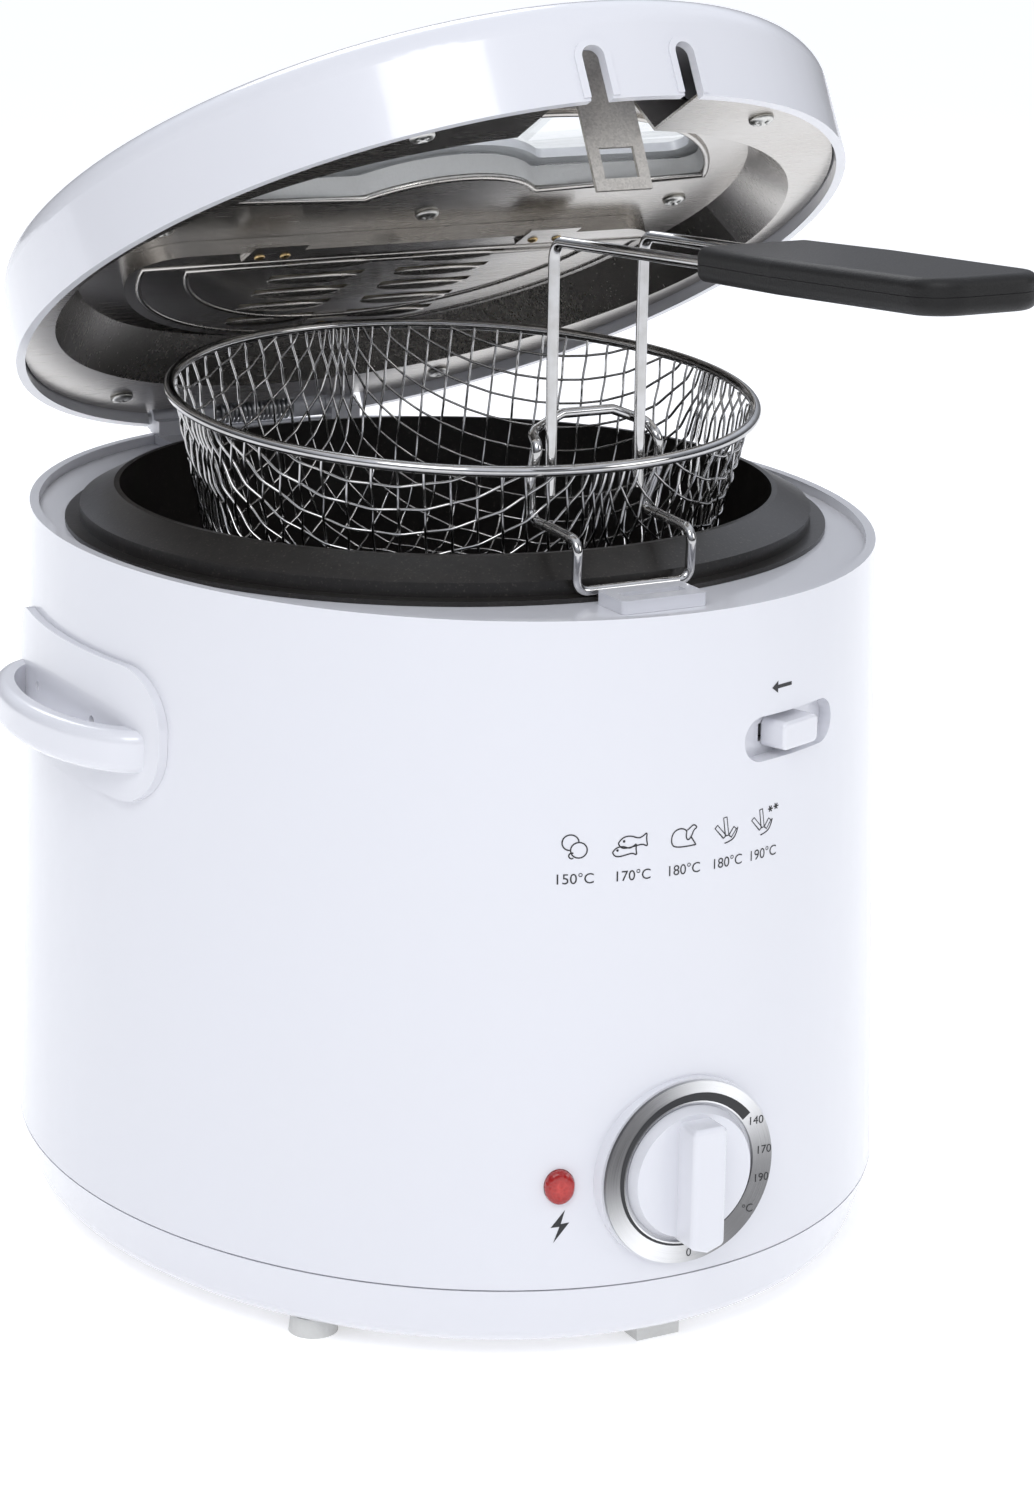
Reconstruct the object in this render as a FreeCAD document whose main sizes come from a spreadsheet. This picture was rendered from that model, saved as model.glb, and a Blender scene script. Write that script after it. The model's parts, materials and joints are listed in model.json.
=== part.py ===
"""Compact deep fryer: oval housing, round fixed bowl, hinged lid with a window, wire basket.

The origin is the middle of the footprint on the worktop. +Z is up, the control panel looks along -Y,
and +X is to the right of somebody who faces the panel. Lengths are millimetres, angles are degrees.
The lid stands open and the basket hangs in its draining position: that is the rest pose.
"""
import FreeCAD, Part
import math
import os
import Sketcher
from FreeCAD import Placement, Rotation, Vector

doc = FreeCAD.newDocument("deep_fryer")
sheet = doc.addObject("Spreadsheet::Sheet", "Sizes")

SIZES = [
    # housing
    ("half_width", 104.5, "housing half-width at the rim"),
    ("half_depth", 126.0, "housing half-depth at the rim"),
    ("flare_side", 6.5, "how much wider each side is at the seam"),
    ("flare_front", 3.2, "how much deeper front and back are at the seam"),
    ("rim_height", 186.5, "top of the housing above the worktop"),
    ("seam_height", 21.5, "joint between the base and the shell"),
    ("seam_gap", 0.4, "open joint line"),
    ("foot_height", 4.8, "underside of the base above the worktop"),
    ("base_tuck", 5.0, "how far the base draws in under the seam"),
    ("base_round", 6.0, "rounding of the base's lower edge"),
    ("shell_wall", 2.5, "moulded wall of shell and base"),
    ("rim_lip", 2.4, "width of the raised lip round the ledge"),
    ("ledge_drop", 2.5, "ledge below the rim"),
    ("ledge_plate", 2.5, "thickness of the ledge"),
    ("seat_gap", 0.05, "gap between two seated faces"),
    # bowl
    ("flange_radius", 98.6, "outer radius of the bowl's flat flange"),
    ("bowl_sheet", 1.2, "bowl sheet thickness"),
    ("collar_radius", 94.7, "foot of the sloping collar"),
    ("collar_rise", 3.6, "flange to the collar's lower edge"),
    ("lip_radius", 85.9, "outer radius of the bowl's lip"),
    ("lip_rise", 8.3, "flange to the lip"),
    ("lip_flat", 1.4, "width of the lip"),
    ("bowl_floor", 82.0, "inside floor of the bowl above the worktop"),
    ("bowl_floor_radius", 81.5, "bowl radius above the floor corner"),
    ("bowl_corner", 12.0, "floor corner radius of the bowl"),
    # heater
    ("can_radius", 91.0, "inside radius of the heat shield"),
    ("can_sheet", 0.6, "heat shield sheet"),
    ("can_floor", 64.0, "heat shield floor above the worktop"),
    ("can_top_gap", 3.0, "heat shield below the ledge plate"),
    ("element_radius", 58.0, "pitch radius of the heating element"),
    ("element_rod", 3.3, "rod radius of the heating element"),
    ("clamp_sheet", 1.5, "clamp plate under the element"),
    # controls
    ("dial_height", 48.5, "knob axis above the worktop"),
    ("dial_radius", 23.3, "outer radius of the dial ring"),
    ("dial_bore", 17.9, "inner radius of the dial ring"),
    ("dial_sheet", 1.0, "dial ring thickness"),
    ("dial_proud", 1.0, "boss face in front of the shell"),
    ("knob_radius", 17.0, "knob disc radius"),
    ("knob_disc", 2.8, "knob disc thickness"),
    ("knob_bar", 7.4, "bar grip in front of the disc"),
    ("knob_bar_width", 9.4, "bar grip width"),
    ("shaft_radius", 3.0, "thermostat shaft radius"),
    ("shaft_play", 0.05, "radial running clearance of shafts and pins"),
    ("lamp_offset", 31.8, "lamp to the left of the knob axis"),
    ("lamp_height", 47.9, "lamp above the worktop"),
    ("lamp_wide", 3.7, "lens half-width"),
    ("lamp_tall", 4.4, "lens half-height"),
    ("slider_offset", 31.5, "release slider to the right of the middle"),
    ("slider_height", 153.0, "release slider above the worktop"),
    ("slot_length", 34.0, "length of the slider's recess"),
    ("slot_height", 11.0, "height of the slider's recess"),
    ("slot_depth", 5.0, "depth of the slider's recess"),
    ("lug_length", 13.5, "slider lug length"),
    ("lug_height", 7.0, "slider lug height"),
    ("lug_proud", 2.4, "slider lug in front of the shell"),
    ("slider_travel", 7.0, "how far the release slides"),
    ("catch_travel", 4.9, "how far the catch draws back"),
    # side handles
    ("grip_reach", 14.5, "how far the side handles stand off the shell"),
    ("grip_half", 41.0, "half-length of the side handles' loop"),
    ("grip_band", 5.0, "thickness of the loop"),
    ("grip_height", 146.0, "middle of the side handles above the worktop"),
    ("grip_tall", 10.8, "height of the loop"),
    ("grip_drop", 3.4, "middle of the loop below the middle of its plate"),
    ("plate_half", 46.0, "half-length of the handle's plate"),
    ("plate_tall", 34.0, "height of the handle's plate"),
    ("plate_sheet", 2.2, "thickness of the handle's plate"),
    # lid
    ("lid_gap", 0.8, "closed lid above the rim"),
    ("lid_overhang", 0.3, "lid edge outside the housing's rim"),
    ("lid_depth", 26.6, "lid height"),
    ("lid_draft", 0.6, "how much the lid draws in at the top"),
    ("lid_round", 8.5, "rounding of the lid's top edge"),
    ("lid_wall", 2.4, "lid wall"),
    ("lid_angle", 27.6, "how far the lid stands open"),
    ("hinge_back", 122.0, "hinge axis behind the middle"),
    ("hinge_rise", 4.0, "hinge axis above the rim"),
    ("pin_radius", 2.0, "hinge pin radius"),
    ("knuckle_radius", 3.3, "hinge knuckle radius"),
    ("wire_slot", 5.4, "width of the slots for the basket's wires"),
    ("wire_slot_rise", 13.2, "height of those slots"),
    ("slot_border", 1.7, "width of the raised border round those slots"),
    ("border_rise", 0.5, "height of that border"),
    ("pan_rise", 3.0, "pan flange above the lid's edge"),
    ("pan_sheet", 0.6, "pan sheet"),
    ("pan_mouth", 96.5, "pan recess radius at the flange"),
    ("pan_floor_radius", 88.5, "pan recess radius at its floor"),
    ("pan_recess", 12.0, "depth of the pan's recess"),
    ("pan_notch", 18.6, "half-width of the pan's front notch"),
    ("window_radius", 77.5, "outer radius of the window"),
    ("window_line", 22.5, "straight edge of the window in front of the middle"),
    ("lobe_radius", 30.5, "lobe that bulges into the window"),
    ("lobe_offset", 4.0, "centre of that lobe in front of the middle"),
    ("glass_thick", 3.0, "window glass"),
    ("filter_radius", 77.0, "outer radius of the filter cover"),
    ("filter_line", 3.0, "straight edge of the filter cover behind the middle"),
    ("filter_rise", 4.0, "filter cover depth"),
    ("strip_back", 106.0, "latch strip in front of the middle"),
    ("strip_width", 15.0, "latch strip width"),
    ("strip_sheet", 1.0, "latch strip thickness"),
    ("strip_drop", 15.3, "latch strip end below the lid's edge"),
    # basket
    ("basket_shift", 9.0, "draining basket in front of the bowl's axis"),
    ("basket_lean", 4.1, "how far the draining basket leans forwards"),
    ("basket_rim", 75.0, "pitch radius of the basket's rim"),
    ("rim_rod", 1.4, "rod radius of the rim"),
    ("basket_top", 218.2, "rim of the draining basket above the worktop"),
    ("basket_deep", 58.0, "basket depth"),
    ("basket_floor_radius", 64.0, "basket radius at the floor"),
    ("basket_corner", 12.0, "floor corner of the basket"),
    ("mesh_wall", 1.0, "thickness that stands for the woven wire"),
    ("handle_half", 12.2, "half the distance between the handle's wires"),
    ("wire_radius", 1.4, "handle wire radius"),
    ("wire_back", 77.4, "handle wires in front of the middle"),
    ("wire_low", 206.0, "lower end of the handle wires"),
    ("wire_high", 267.0, "bend of the handle wires"),
    ("arm_slope", 3.7, "rise of the handle's arms"),
    ("hook_half", 15.6, "half-width of the drain hook"),
    ("hook_rod", 1.25, "rod radius of hook and bracket"),
    ("hook_front", 97.0, "drain hook's bar in front of the middle"),
    ("hook_top", 199.6, "top of the drain hook"),
    ("grip_start", 145.0, "near end of the basket's grip"),
    ("grip_long", 92.0, "length of the basket's grip"),
    ("grip_wide", 30.0, "width of the basket's grip"),
    ("grip_thick", 7.8, "thickness of the basket's grip"),
]
for row, (name, size, note) in enumerate(SIZES, start=1):
    sheet.set(f"A{row}", note)
    sheet.set(f"B{row}", str(size))
    sheet.setAlias(f"B{row}", name)
doc.recompute()


def val(name):
    """The sheet's present value of a named size."""
    return float(sheet.get(name))


def expr(text):
    """Name the sheet in front of every alias of an expression."""
    words = []
    word = ""
    for letter in text + " ":
        if letter.isalnum() or letter == "_":
            word += letter
            continue
        words.append(f"Sizes.{word}" if word in ALIASES else word)
        words.append(letter)
        word = ""
    return "".join(words).strip()


ALIASES = {name for name, size, note in SIZES}


def measure(text):
    """The number that an expression of aliases comes to."""
    result = sheet.evalExpression(expr(text))
    return float(getattr(result, "Value", result))


def bind(obj, **rules):
    """Tie properties to expressions. Two underscores stand for a dot."""
    for prop, text in rules.items():
        obj.setExpression(prop.replace("__", "."), expr(text))
    return obj


# %% building blocks
def origin_plane(body, role):
    return next(f for f in body.Origin.OriginFeatures if f.Role == role)


def outline(body, name, role, points):
    """A closed sketch of straight lines whose corners are pairs of expressions."""
    sketch = body.newObject("Sketcher::SketchObject", name)
    sketch.AttachmentSupport = (origin_plane(body, role), [""])
    sketch.MapMode = "FlatFace"
    spots = [Vector(measure(a), measure(b), 0) for a, b in points]
    count = len(points)
    for i in range(count):
        sketch.addGeometry(Part.LineSegment(spots[i], spots[(i + 1) % count]), False)
    for i in range(count):
        sketch.addConstraint(Sketcher.Constraint("Coincident", i, 2, (i + 1) % count, 1))
    for i, (a, b) in enumerate(points):
        across = sketch.addConstraint(Sketcher.Constraint("DistanceX", -1, 1, i, 1, spots[i].x))
        sketch.setExpression(f"Constraints[{across}]", expr(a))
        up = sketch.addConstraint(Sketcher.Constraint("DistanceY", -1, 1, i, 1, spots[i].y))
        sketch.setExpression(f"Constraints[{up}]", expr(b))
    return sketch


def turned(label, points, at=("0", "0", "0")):
    """A turned body: corners are (radius, height), the axis is Z."""
    body = doc.addObject("PartDesign::Body", label)
    sketch = outline(body, f"{label}_profile", "XZ_Plane", points)
    spin = body.newObject("PartDesign::Revolution", f"{label}_turn")
    spin.Profile = sketch
    spin.ReferenceAxis = (sketch, ["V_Axis"])
    spin.Angle = 360
    place(body, *at)
    return body


def place(obj, x="0", y="0", z="0", turn=None):
    """Put an object where three expressions say, turned by a Rotation."""
    obj.Placement = Placement(Vector(0, 0, 0), turn or Rotation())
    return bind(obj, Placement__Base__x=x, Placement__Base__y=y, Placement__Base__z=z)


def box(name, size, corner):
    """A Part::Box from expressions for its size and its low corner."""
    item = doc.addObject("Part::Box", name)
    bind(item, Length=size[0], Width=size[1], Height=size[2])
    return place(item, *corner)


def rod(name, radius, length, base, axis=Vector(0, 0, 1)):
    """A Part::Cylinder from expressions, along any axis."""
    item = doc.addObject("Part::Cylinder", name)
    bind(item, Radius=radius, Height=length)
    return place(item, *base, turn=Rotation(Vector(0, 0, 1), axis))


def fused(label, *items):
    join = doc.addObject("Part::MultiFuse", label)
    join.Shapes = list(items)
    return join


def cut(label, base, *tools):
    tool = tools[0] if len(tools) == 1 else fused(f"{label}_tools", *tools)
    result = doc.addObject("Part::Cut", label)
    result.Base = base
    result.Tool = tool
    return result


def solid(label, shape, placement=None):
    """A Part::Feature for a form that the other features don't give."""
    item = doc.addObject("Part::Feature", label)
    item.Shape = shape
    if placement is not None:
        item.Placement = placement
    return item


def edges_where(shape, test):
    return [edge for edge in shape.Edges if test(edge)]


def rounded_edges(shape, radius, test):
    return shape.makeFillet(radius, edges_where(shape, test))


def block(x0, x1, y0, y1, z0, z1):
    return Part.makeBox(x1 - x0, y1 - y0, z1 - z0, Vector(x0, y0, z0))


def disc(radius, z0, z1, x=0.0, y=0.0):
    return Part.makeCylinder(radius, z1 - z0, Vector(x, y, z0))


def oval(a, b, z):
    """An oval wire with half-width a along X and half-depth b along Y."""
    if a >= b:
        curve = Part.Ellipse(Vector(0, 0, z), a, b)
    else:
        curve = Part.Ellipse(Vector(0, b, z), Vector(-a, 0, z), Vector(0, 0, z))
    return Part.Wire([curve.toShape()])


def oval_solid(low, high):
    """The solid between two ovals, each (half-width, half-depth, height)."""
    return Part.makeLoft([oval(*low), oval(*high)], True, True)


def bent_rod(points, radius, bend):
    """A round rod along straight runs joined by arcs."""
    spots = [Vector(*p) for p in points]
    edges = []
    start = spots[0]
    for before, here, after in zip(spots, spots[1:], spots[2:]):
        back = (before - here).normalize()
        ahead = (after - here).normalize()
        half = back.getAngle(ahead) / 2
        reach = min(bend / math.tan(half), 0.48 * (before - here).Length, 0.48 * (after - here).Length)
        first = here + back * reach
        last = here + ahead * reach
        middle = (back + ahead).normalize()
        arc_radius = reach * math.tan(half)
        summit = here + middle * (arc_radius / math.sin(half) - arc_radius)
        edges.append(Part.makeLine(start, first))
        edges.append(Part.Arc(first, summit, last).toShape())
        start = last
    edges.append(Part.makeLine(start, spots[-1]))
    path = Part.Wire(edges)
    heading = (spots[1] - spots[0]).normalize()
    section = Part.Wire([Part.makeCircle(radius, spots[0], heading)])
    return path.makePipeShell([section], True, False)


# %% places that several pieces share
A = val("half_width")
B = val("half_depth")
RIM = val("rim_height")
SEAM = val("seam_height")
WALL = val("shell_wall")
LEDGE = RIM - val("ledge_drop")
FLANGE_TOP = LEDGE + val("seat_gap") + val("bowl_sheet")
LID_EDGE = RIM + val("lid_gap")
LID_TOP = LID_EDGE + val("lid_depth")
LID_ROOF = LID_TOP - val("lid_wall")
PAN_FLANGE = LID_EDGE + val("pan_rise")
PAN_FLOOR = PAN_FLANGE + val("pan_recess")
HINGE = Vector(0, val("hinge_back"), RIM + val("hinge_rise"))
OPEN_LID = Placement(Vector(0, 0, 0), Rotation(Vector(1, 0, 0), -val("lid_angle")), HINGE)
SHEET = val("pan_sheet")


def shell_half(z):
    """Half-width and half-depth of the shell's outside at a height."""
    share = (RIM - z) / (RIM - SEAM)
    return A + val("flare_side") * share, B + val("flare_front") * share


def panel_frame(x, z):
    """A frame on the shell's front at (x, z): its X runs along the shell, its Y points inwards."""
    a, b = shell_half(z)
    y = -b * math.sqrt(1 - (x / a) ** 2)
    turn = math.degrees(math.atan2(x / a**2, -y / b**2))
    return Placement(Vector(x, y, z), Rotation(Vector(0, 0, 1), turn))


def moved(shape, placement):
    result = shape.copy()
    result.Placement = placement.multiply(shape.Placement)
    return result


def pill(length, height, y0, y1):
    """A pill-shaped bar along X, from y0 to y1 in depth."""
    straight = length - height
    bar = block(-straight / 2, straight / 2, y0, y1, -height / 2, height / 2)
    ends = []
    for side in (-1, 1):
        centre = Vector(side * straight / 2, y0, 0)
        ends.append(Part.makeCylinder(height / 2, y1 - y0, centre, Vector(0, 1, 0)))
    return bar.fuse(ends).removeSplitter()


# %% housing shell: tapered oval wall, sunk ledge, dial boss, release recess
seam_a, seam_b = shell_half(SEAM)
outside = oval_solid((seam_a, seam_b, SEAM), (A, B, RIM))
plate_under = LEDGE - val("ledge_plate")
top_a, top_b = shell_half(plate_under)
cavity = oval_solid(
    (seam_a - WALL, seam_b - WALL, SEAM), (top_a - WALL, top_b - WALL, plate_under)
)
lip = val("rim_lip")
shell = outside.cut(cavity).cut(oval_solid((A - lip, B - lip, LEDGE), (A - lip, B - lip, RIM)))
bowl_hole = val("collar_radius") - val("bowl_sheet") - 1.2
shell = shell.cut(disc(bowl_hole, plate_under - 1, LEDGE + 1))

dial_z = val("dial_height")
dial_a, dial_b = shell_half(dial_z)
DIAL_FACE = -dial_b - val("dial_proud")
boss_from = Vector(0, DIAL_FACE, dial_z)
boss = Part.makeCylinder(val("dial_radius") + 0.6, 9.0, boss_from, Vector(0, 1, 0))
boss = boss.cut(cavity)
shell = shell.fuse(boss)
shell = shell.cut(Part.makeCylinder(5.5, 30.0, boss_from - Vector(0, 5, 0), Vector(0, 1, 0)))

lamp_frame = panel_frame(-val("lamp_offset"), val("lamp_height"))
lens_hole = Part.makeCylinder(1.0, 30.0, Vector(0, -15, 0), Vector(0, 1, 0))
stretch = FreeCAD.Matrix()
stretch.scale(val("lamp_wide") + 0.1, 1, val("lamp_tall") + 0.1)
shell = shell.cut(moved(lens_hole.transformGeometry(stretch), lamp_frame))

slide_frame = panel_frame(val("slider_offset"), val("slider_height"))
depth = val("slot_depth")
pocket = pill(val("slot_length"), val("slot_height"), -8.0, depth)
tray = pill(val("slot_length") + 2 * WALL, val("slot_height") + 2 * WALL, 0.4, depth + WALL)
stem_way = val("slider_travel") + 8.0
stem_slot = block(-stem_way / 2, stem_way / 2, depth - 1, depth + WALL + 1, -2.2, 2.2)
tray = moved(tray, slide_frame).common(outside)
shell = shell.fuse(tray).cut(moved(pocket, slide_frame)).cut(moved(stem_slot, slide_frame))

strip_y = -val("strip_back")
RECEPT_TOP = LEDGE + 3.3
mouth = block(-9.5, 9.5, strip_y - 2.6, strip_y + 2.6, plate_under - 1, LEDGE + 1)
shell = shell.cut(mouth)

screw_z = val("grip_height")
for side in (-1, 1):
    for along in (-1, 1):
        hole = Part.makeCylinder(
            1.8, 40.0, Vector(side * (A - 20), along * 18.0, screw_z), Vector(side, 0, 0)
        )
        shell = shell.cut(hole)
GLAND_Z = 38.0
shell = shell.cut(Part.makeCylinder(6.2, 30.0, Vector(0, B - 15, GLAND_Z), Vector(0, 1, 0)))
solid("outer_shell", shell)

# %% base: a shallow oval tray under the shell with vents and screw posts
base_top = SEAM - val("seam_gap")
foot = val("foot_height")
tuck = val("base_tuck")
tray_out = oval_solid((seam_a - tuck, seam_b - tuck, foot), (seam_a, seam_b, base_top))
tray_out = rounded_edges(tray_out, val("base_round"), lambda e: e.BoundBox.ZMax < foot + 0.01)
tray_in = oval_solid(
    (seam_a - tuck - WALL, seam_b - tuck - WALL, foot + WALL),
    (seam_a - WALL, seam_b - WALL, base_top + 0.01),
)
base = tray_out.cut(tray_in)
for row in range(-3, 4):
    base = base.cut(block(-24, 24, row * 12 - 2.2, row * 12 + 2.2, foot - 1, foot + WALL + 1))
POSTS = [(sx * 0.62 * A, sy * 0.62 * B) for sx in (-1, 1) for sy in (-1, 1)]
for x, y in POSTS:
    post = disc(4.0, foot + WALL - 0.5, base_top - 2.0, x, y)
    base = base.fuse(post).cut(disc(1.5, foot - 1, base_top, x, y))
solid("base_cover", base.removeSplitter())

screws = []
for x, y in POSTS:
    head = disc(2.9, foot - 1.6, foot - val("seat_gap"), x, y)
    screws.append(head.fuse(disc(1.45, foot - 0.5, base_top - 4, x, y)).removeSplitter())
solid("base_screws", Part.makeCompound(screws))

# Four round feet stand near the corners of the base, a short block under the panel.
FEET = [(sx * 0.71, sy * 0.60) for sx in (-1, 1) for sy in (-1, 1)]
pads = []
for sx, sy in FEET:
    pads.append(
        Part.makeCone(6.2, 5.6, foot - val("seat_gap"), Vector(sx * A, sy * B, 0))
    )
solid("rubber_feet", Part.makeCompound(pads))
front_foot = box("front_block", ("12", "8", "foot_height - seat_gap"), ("-6", "8 - half_depth", "0"))
front_foot.Label = "front_foot"

# %% bowl, heat shield and heating element
ledge = "(rim_height - ledge_drop + seat_gap)"
turned(
    "inner_bowl",
    [
        ("flange_radius", f"{ledge}"),
        ("flange_radius", f"{ledge} + bowl_sheet"),
        ("collar_radius", f"{ledge} + bowl_sheet"),
        ("collar_radius", f"{ledge} + bowl_sheet + collar_rise"),
        ("lip_radius", f"{ledge} + bowl_sheet + lip_rise"),
        ("lip_radius - lip_flat", f"{ledge} + bowl_sheet + lip_rise"),
        ("bowl_floor_radius", "bowl_floor + bowl_corner"),
        ("bowl_floor_radius - 0.293 * bowl_corner", "bowl_floor + 0.293 * bowl_corner"),
        ("bowl_floor_radius - bowl_corner", "bowl_floor"),
        ("0", "bowl_floor"),
        ("0", "bowl_floor - bowl_sheet"),
        ("bowl_floor_radius - bowl_corner", "bowl_floor - bowl_sheet"),
        (
            "bowl_floor_radius - 0.293 * bowl_corner + 0.7 * bowl_sheet",
            "bowl_floor + 0.293 * bowl_corner - 0.7 * bowl_sheet",
        ),
        ("bowl_floor_radius + bowl_sheet", "bowl_floor + bowl_corner"),
        ("lip_radius - lip_flat + bowl_sheet", f"{ledge} + lip_rise - bowl_sheet"),
        ("collar_radius - bowl_sheet", f"{ledge} + collar_rise"),
        ("collar_radius - bowl_sheet", f"{ledge}"),
    ],
)
shield_top = "(rim_height - ledge_drop - ledge_plate - can_top_gap)"
shield = turned(
    "shield_can",
    [
        ("30", "can_floor"),
        ("can_radius + can_sheet", "can_floor"),
        ("can_radius + can_sheet", shield_top),
        ("can_radius", shield_top),
        ("can_radius", "can_floor + can_sheet"),
        ("30", "can_floor + can_sheet"),
    ],
)
ring = doc.addObject("Part::Torus", "element_ring")
bind(ring, Radius1="element_radius", Radius2="element_rod")
place(ring, "0", "0", "bowl_floor - bowl_sheet - element_rod - seat_gap")
legs = []
for side in ("-", ""):
    spot = (f"{side}9", "0.985 * element_radius", "can_floor - 14")
    length = "bowl_floor - bowl_sheet - 2 * element_rod - can_floor + 15"
    legs.append(rod(f"element_leg{len(legs)}", "element_rod", length, spot))
fused("heating_element", ring, *legs)
way = [rod(f"leg_way{i}", "element_rod + 0.6", "30", (f"{s}9", "0.985 * element_radius", "can_floor - 10"))
       for i, s in enumerate(("-", ""))]
cut("heat_shield", shield, *way)
clamp_top = "(bowl_floor - bowl_sheet - 2 * element_rod - 2 * seat_gap)"
clamp = rod("clamp_disc", "element_radius + 8", "clamp_sheet", ("0", "0", f"{clamp_top} - clamp_sheet"))
hub = rod("clamp_hub", "6", "30", ("0", "0", "can_floor - 10"))
ways = [rod(f"clamp_way{i}", "element_rod + 0.6", "30", (f"{s}9", "0.985 * element_radius", "can_floor - 10"))
        for i, s in enumerate(("-", ""))]
cut("element_clamp", clamp, hub, *ways)
stud = rod("stud_rod", "2.5", f"bowl_floor - bowl_sheet - seat_gap - {clamp_top} + 6",
           ("0", "0", f"{clamp_top} - 6"))
nut = rod("stud_nut", "7.5", "3", ("0", "0", f"{clamp_top} - clamp_sheet - 3 - seat_gap"))
fused("clamp_stud", stud, nut)

# %% thermostat, cut-out, terminals and cord inlet
fore = f"(0 - half_depth - flare_front * (rim_height - dial_height) / (rim_height - seam_height))"
stat = box("stat_block", ("30", "24", "26"), ("-15", f"{fore} + 12", "dial_height - 13"))
stat_bush = rod("stat_bush", "4.6", "8.2", ("0", f"{fore} + 4", "dial_height"), Vector(0, 1, 0))
stat_bore = rod("stat_bore", "shaft_radius + shaft_play", "30",
                ("0", f"{fore} + 2", "dial_height"), Vector(0, 1, 0))
cut("thermostat", fused("stat_case", stat, stat_bush), stat_bore)
rod("thermal_cutout", "8", "7", ("34", "-26", f"{clamp_top} - clamp_sheet - 7 - seat_gap"))
strip_block = box("terminal_bar", ("44", "16", "13"), ("-22", "66", "foot_height + shell_wall + seat_gap"))
ways = [rod(f"terminal_way{i}", "2.2", "20", (f"{-15 + 10 * i}", "64", "foot_height + shell_wall + 7"),
            Vector(0, 1, 0)) for i in range(4)]
cut("terminal_block", strip_block, *ways)
gland_at = f"(half_depth + flare_front * (rim_height - 38) / (rim_height - seam_height))"
neck = rod("gland_neck", "6", "12", ("0", f"{gland_at} - 10", "38"), Vector(0, 1, 0))
collar = rod("gland_collar", "9", "2.5", ("0", f"{gland_at} + 0.2", "38"), Vector(0, 1, 0))
sleeve = doc.addObject("Part::Cone", "gland_sleeve")
bind(sleeve, Radius1="7", Radius2="4.6", Height="15")
place(sleeve, "0", f"{gland_at} + 2", "38", turn=Rotation(Vector(0, 0, 1), Vector(0, 1, 0)))
bore = rod("gland_bore", "3.4", "60", ("0", f"{gland_at} - 30", "38"), Vector(0, 1, 0))
cut("cord_gland", fused("gland_body", neck, collar, sleeve), bore)

# %% dial ring, knob and its shaft
ring_out = rod("dial_out", "dial_radius", "dial_sheet",
               ("0", f"{fore} - dial_proud - dial_sheet - seat_gap", "dial_height"), Vector(0, 1, 0))
ring_in = rod("dial_in", "dial_bore", "dial_sheet + 2",
              ("0", f"{fore} - dial_proud - dial_sheet - 1", "dial_height"), Vector(0, 1, 0))
cut("dial_ring", ring_out, ring_in)

face = DIAL_FACE - 0.5
knob_r = val("knob_radius")
front = face - val("knob_disc")
knob = Part.makeCone(knob_r, knob_r - 1.2, val("knob_disc"), Vector(0, face, dial_z), Vector(0, -1, 0))
half = val("knob_bar_width") / 2
bar = Part.makePolygon([
    Vector(-half, 0, knob_r - 2.5), Vector(half, 0, knob_r - 2.5), Vector(half, 0, 1 - knob_r),
    Vector(0, 0, -knob_r - 0.6), Vector(-half, 0, 1 - knob_r), Vector(-half, 0, knob_r - 2.5),
])
bar = Part.Face(bar).extrude(Vector(0, -val("knob_bar") - 1, 0))
bar.translate(Vector(0, front + 1, dial_z))
bar = rounded_edges(bar, 1.6, lambda e: e.BoundBox.YLength > 1 and e.BoundBox.ZMin > dial_z - knob_r)
knob = knob.fuse(bar).removeSplitter()
bar_front = front - val("knob_bar")
knob = rounded_edges(knob, 1.2, lambda e: e.BoundBox.YMax < bar_front + 0.01)
shaft_r = val("shaft_radius")
shaft_in = dial_b - 12.0
shaft_out = -front + 1.0
knob_bore = Part.makeCylinder(shaft_r + 0.02, 40, Vector(0, -shaft_out - 0.1, dial_z), Vector(0, 1, 0))
solid("knob", knob.cut(knob_bore))
rod("thermostat_shaft", "shaft_radius",
    f"dial_proud + 0.5 + knob_disc + 1 + 26", ("0", f"{fore} - dial_proud - 0.5 - knob_disc - 1",
    "dial_height"), Vector(0, 1, 0))

# %% pilot lamp
lens = oval_solid((val("lamp_wide"), val("lamp_tall"), -4.0), (val("lamp_wide"), val("lamp_tall"), 1.9))
lens = rounded_edges(lens, 1.5, lambda e: e.BoundBox.ZMin > 1.8)
lens.Placement = Placement(Vector(0, 0, 0), Rotation(Vector(1, 0, 0), 90))
solid("lamp_lens", moved(lens, lamp_frame))
tube = Part.makeCylinder(3.4, 16.0, Vector(0, 4.05, 0), Vector(0, 1, 0))
flange = Part.makeCylinder(6.0, 1.4, Vector(0, 4.05, 0), Vector(0, 1, 0))
solid("lamp_holder", moved(tube.fuse(flange).removeSplitter(), lamp_frame))

# %% lid release: slider, link and catch
lug = block(-val("lug_length") / 2, val("lug_length") / 2, -val("lug_proud"), depth - 0.3,
            -val("lug_height") / 2, val("lug_height") / 2)
lug = rounded_edges(lug, 1.6, lambda e: e.BoundBox.YLength > 2)
lug = rounded_edges(lug, 0.8, lambda e: e.BoundBox.YMax < -val("lug_proud") + 0.01)
stem = block(-3.4, 3.4, depth - 0.8, depth + WALL + 0.9, -1.9, 1.9)
solid("release_slider", moved(lug.fuse(stem).removeSplitter(), slide_frame))
link_y = depth + WALL + 0.95
riser = LID_EDGE - val("strip_drop") + 0.7 - val("slider_height")
link = block(-20.0, 6.0, link_y, link_y + 1.5, -4.0, 4.0)
link = link.fuse(block(-20.0, -13.0, link_y, link_y + 1.5, -4.0, riser)).removeSplitter()
solid("release_link", moved(link, slide_frame))
catch_z = LID_EDGE - val("strip_drop") + 4.3
catch_a, catch_b = shell_half(catch_z)
nose_end = strip_y - val("strip_sheet") / 2 - 0.4
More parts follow.
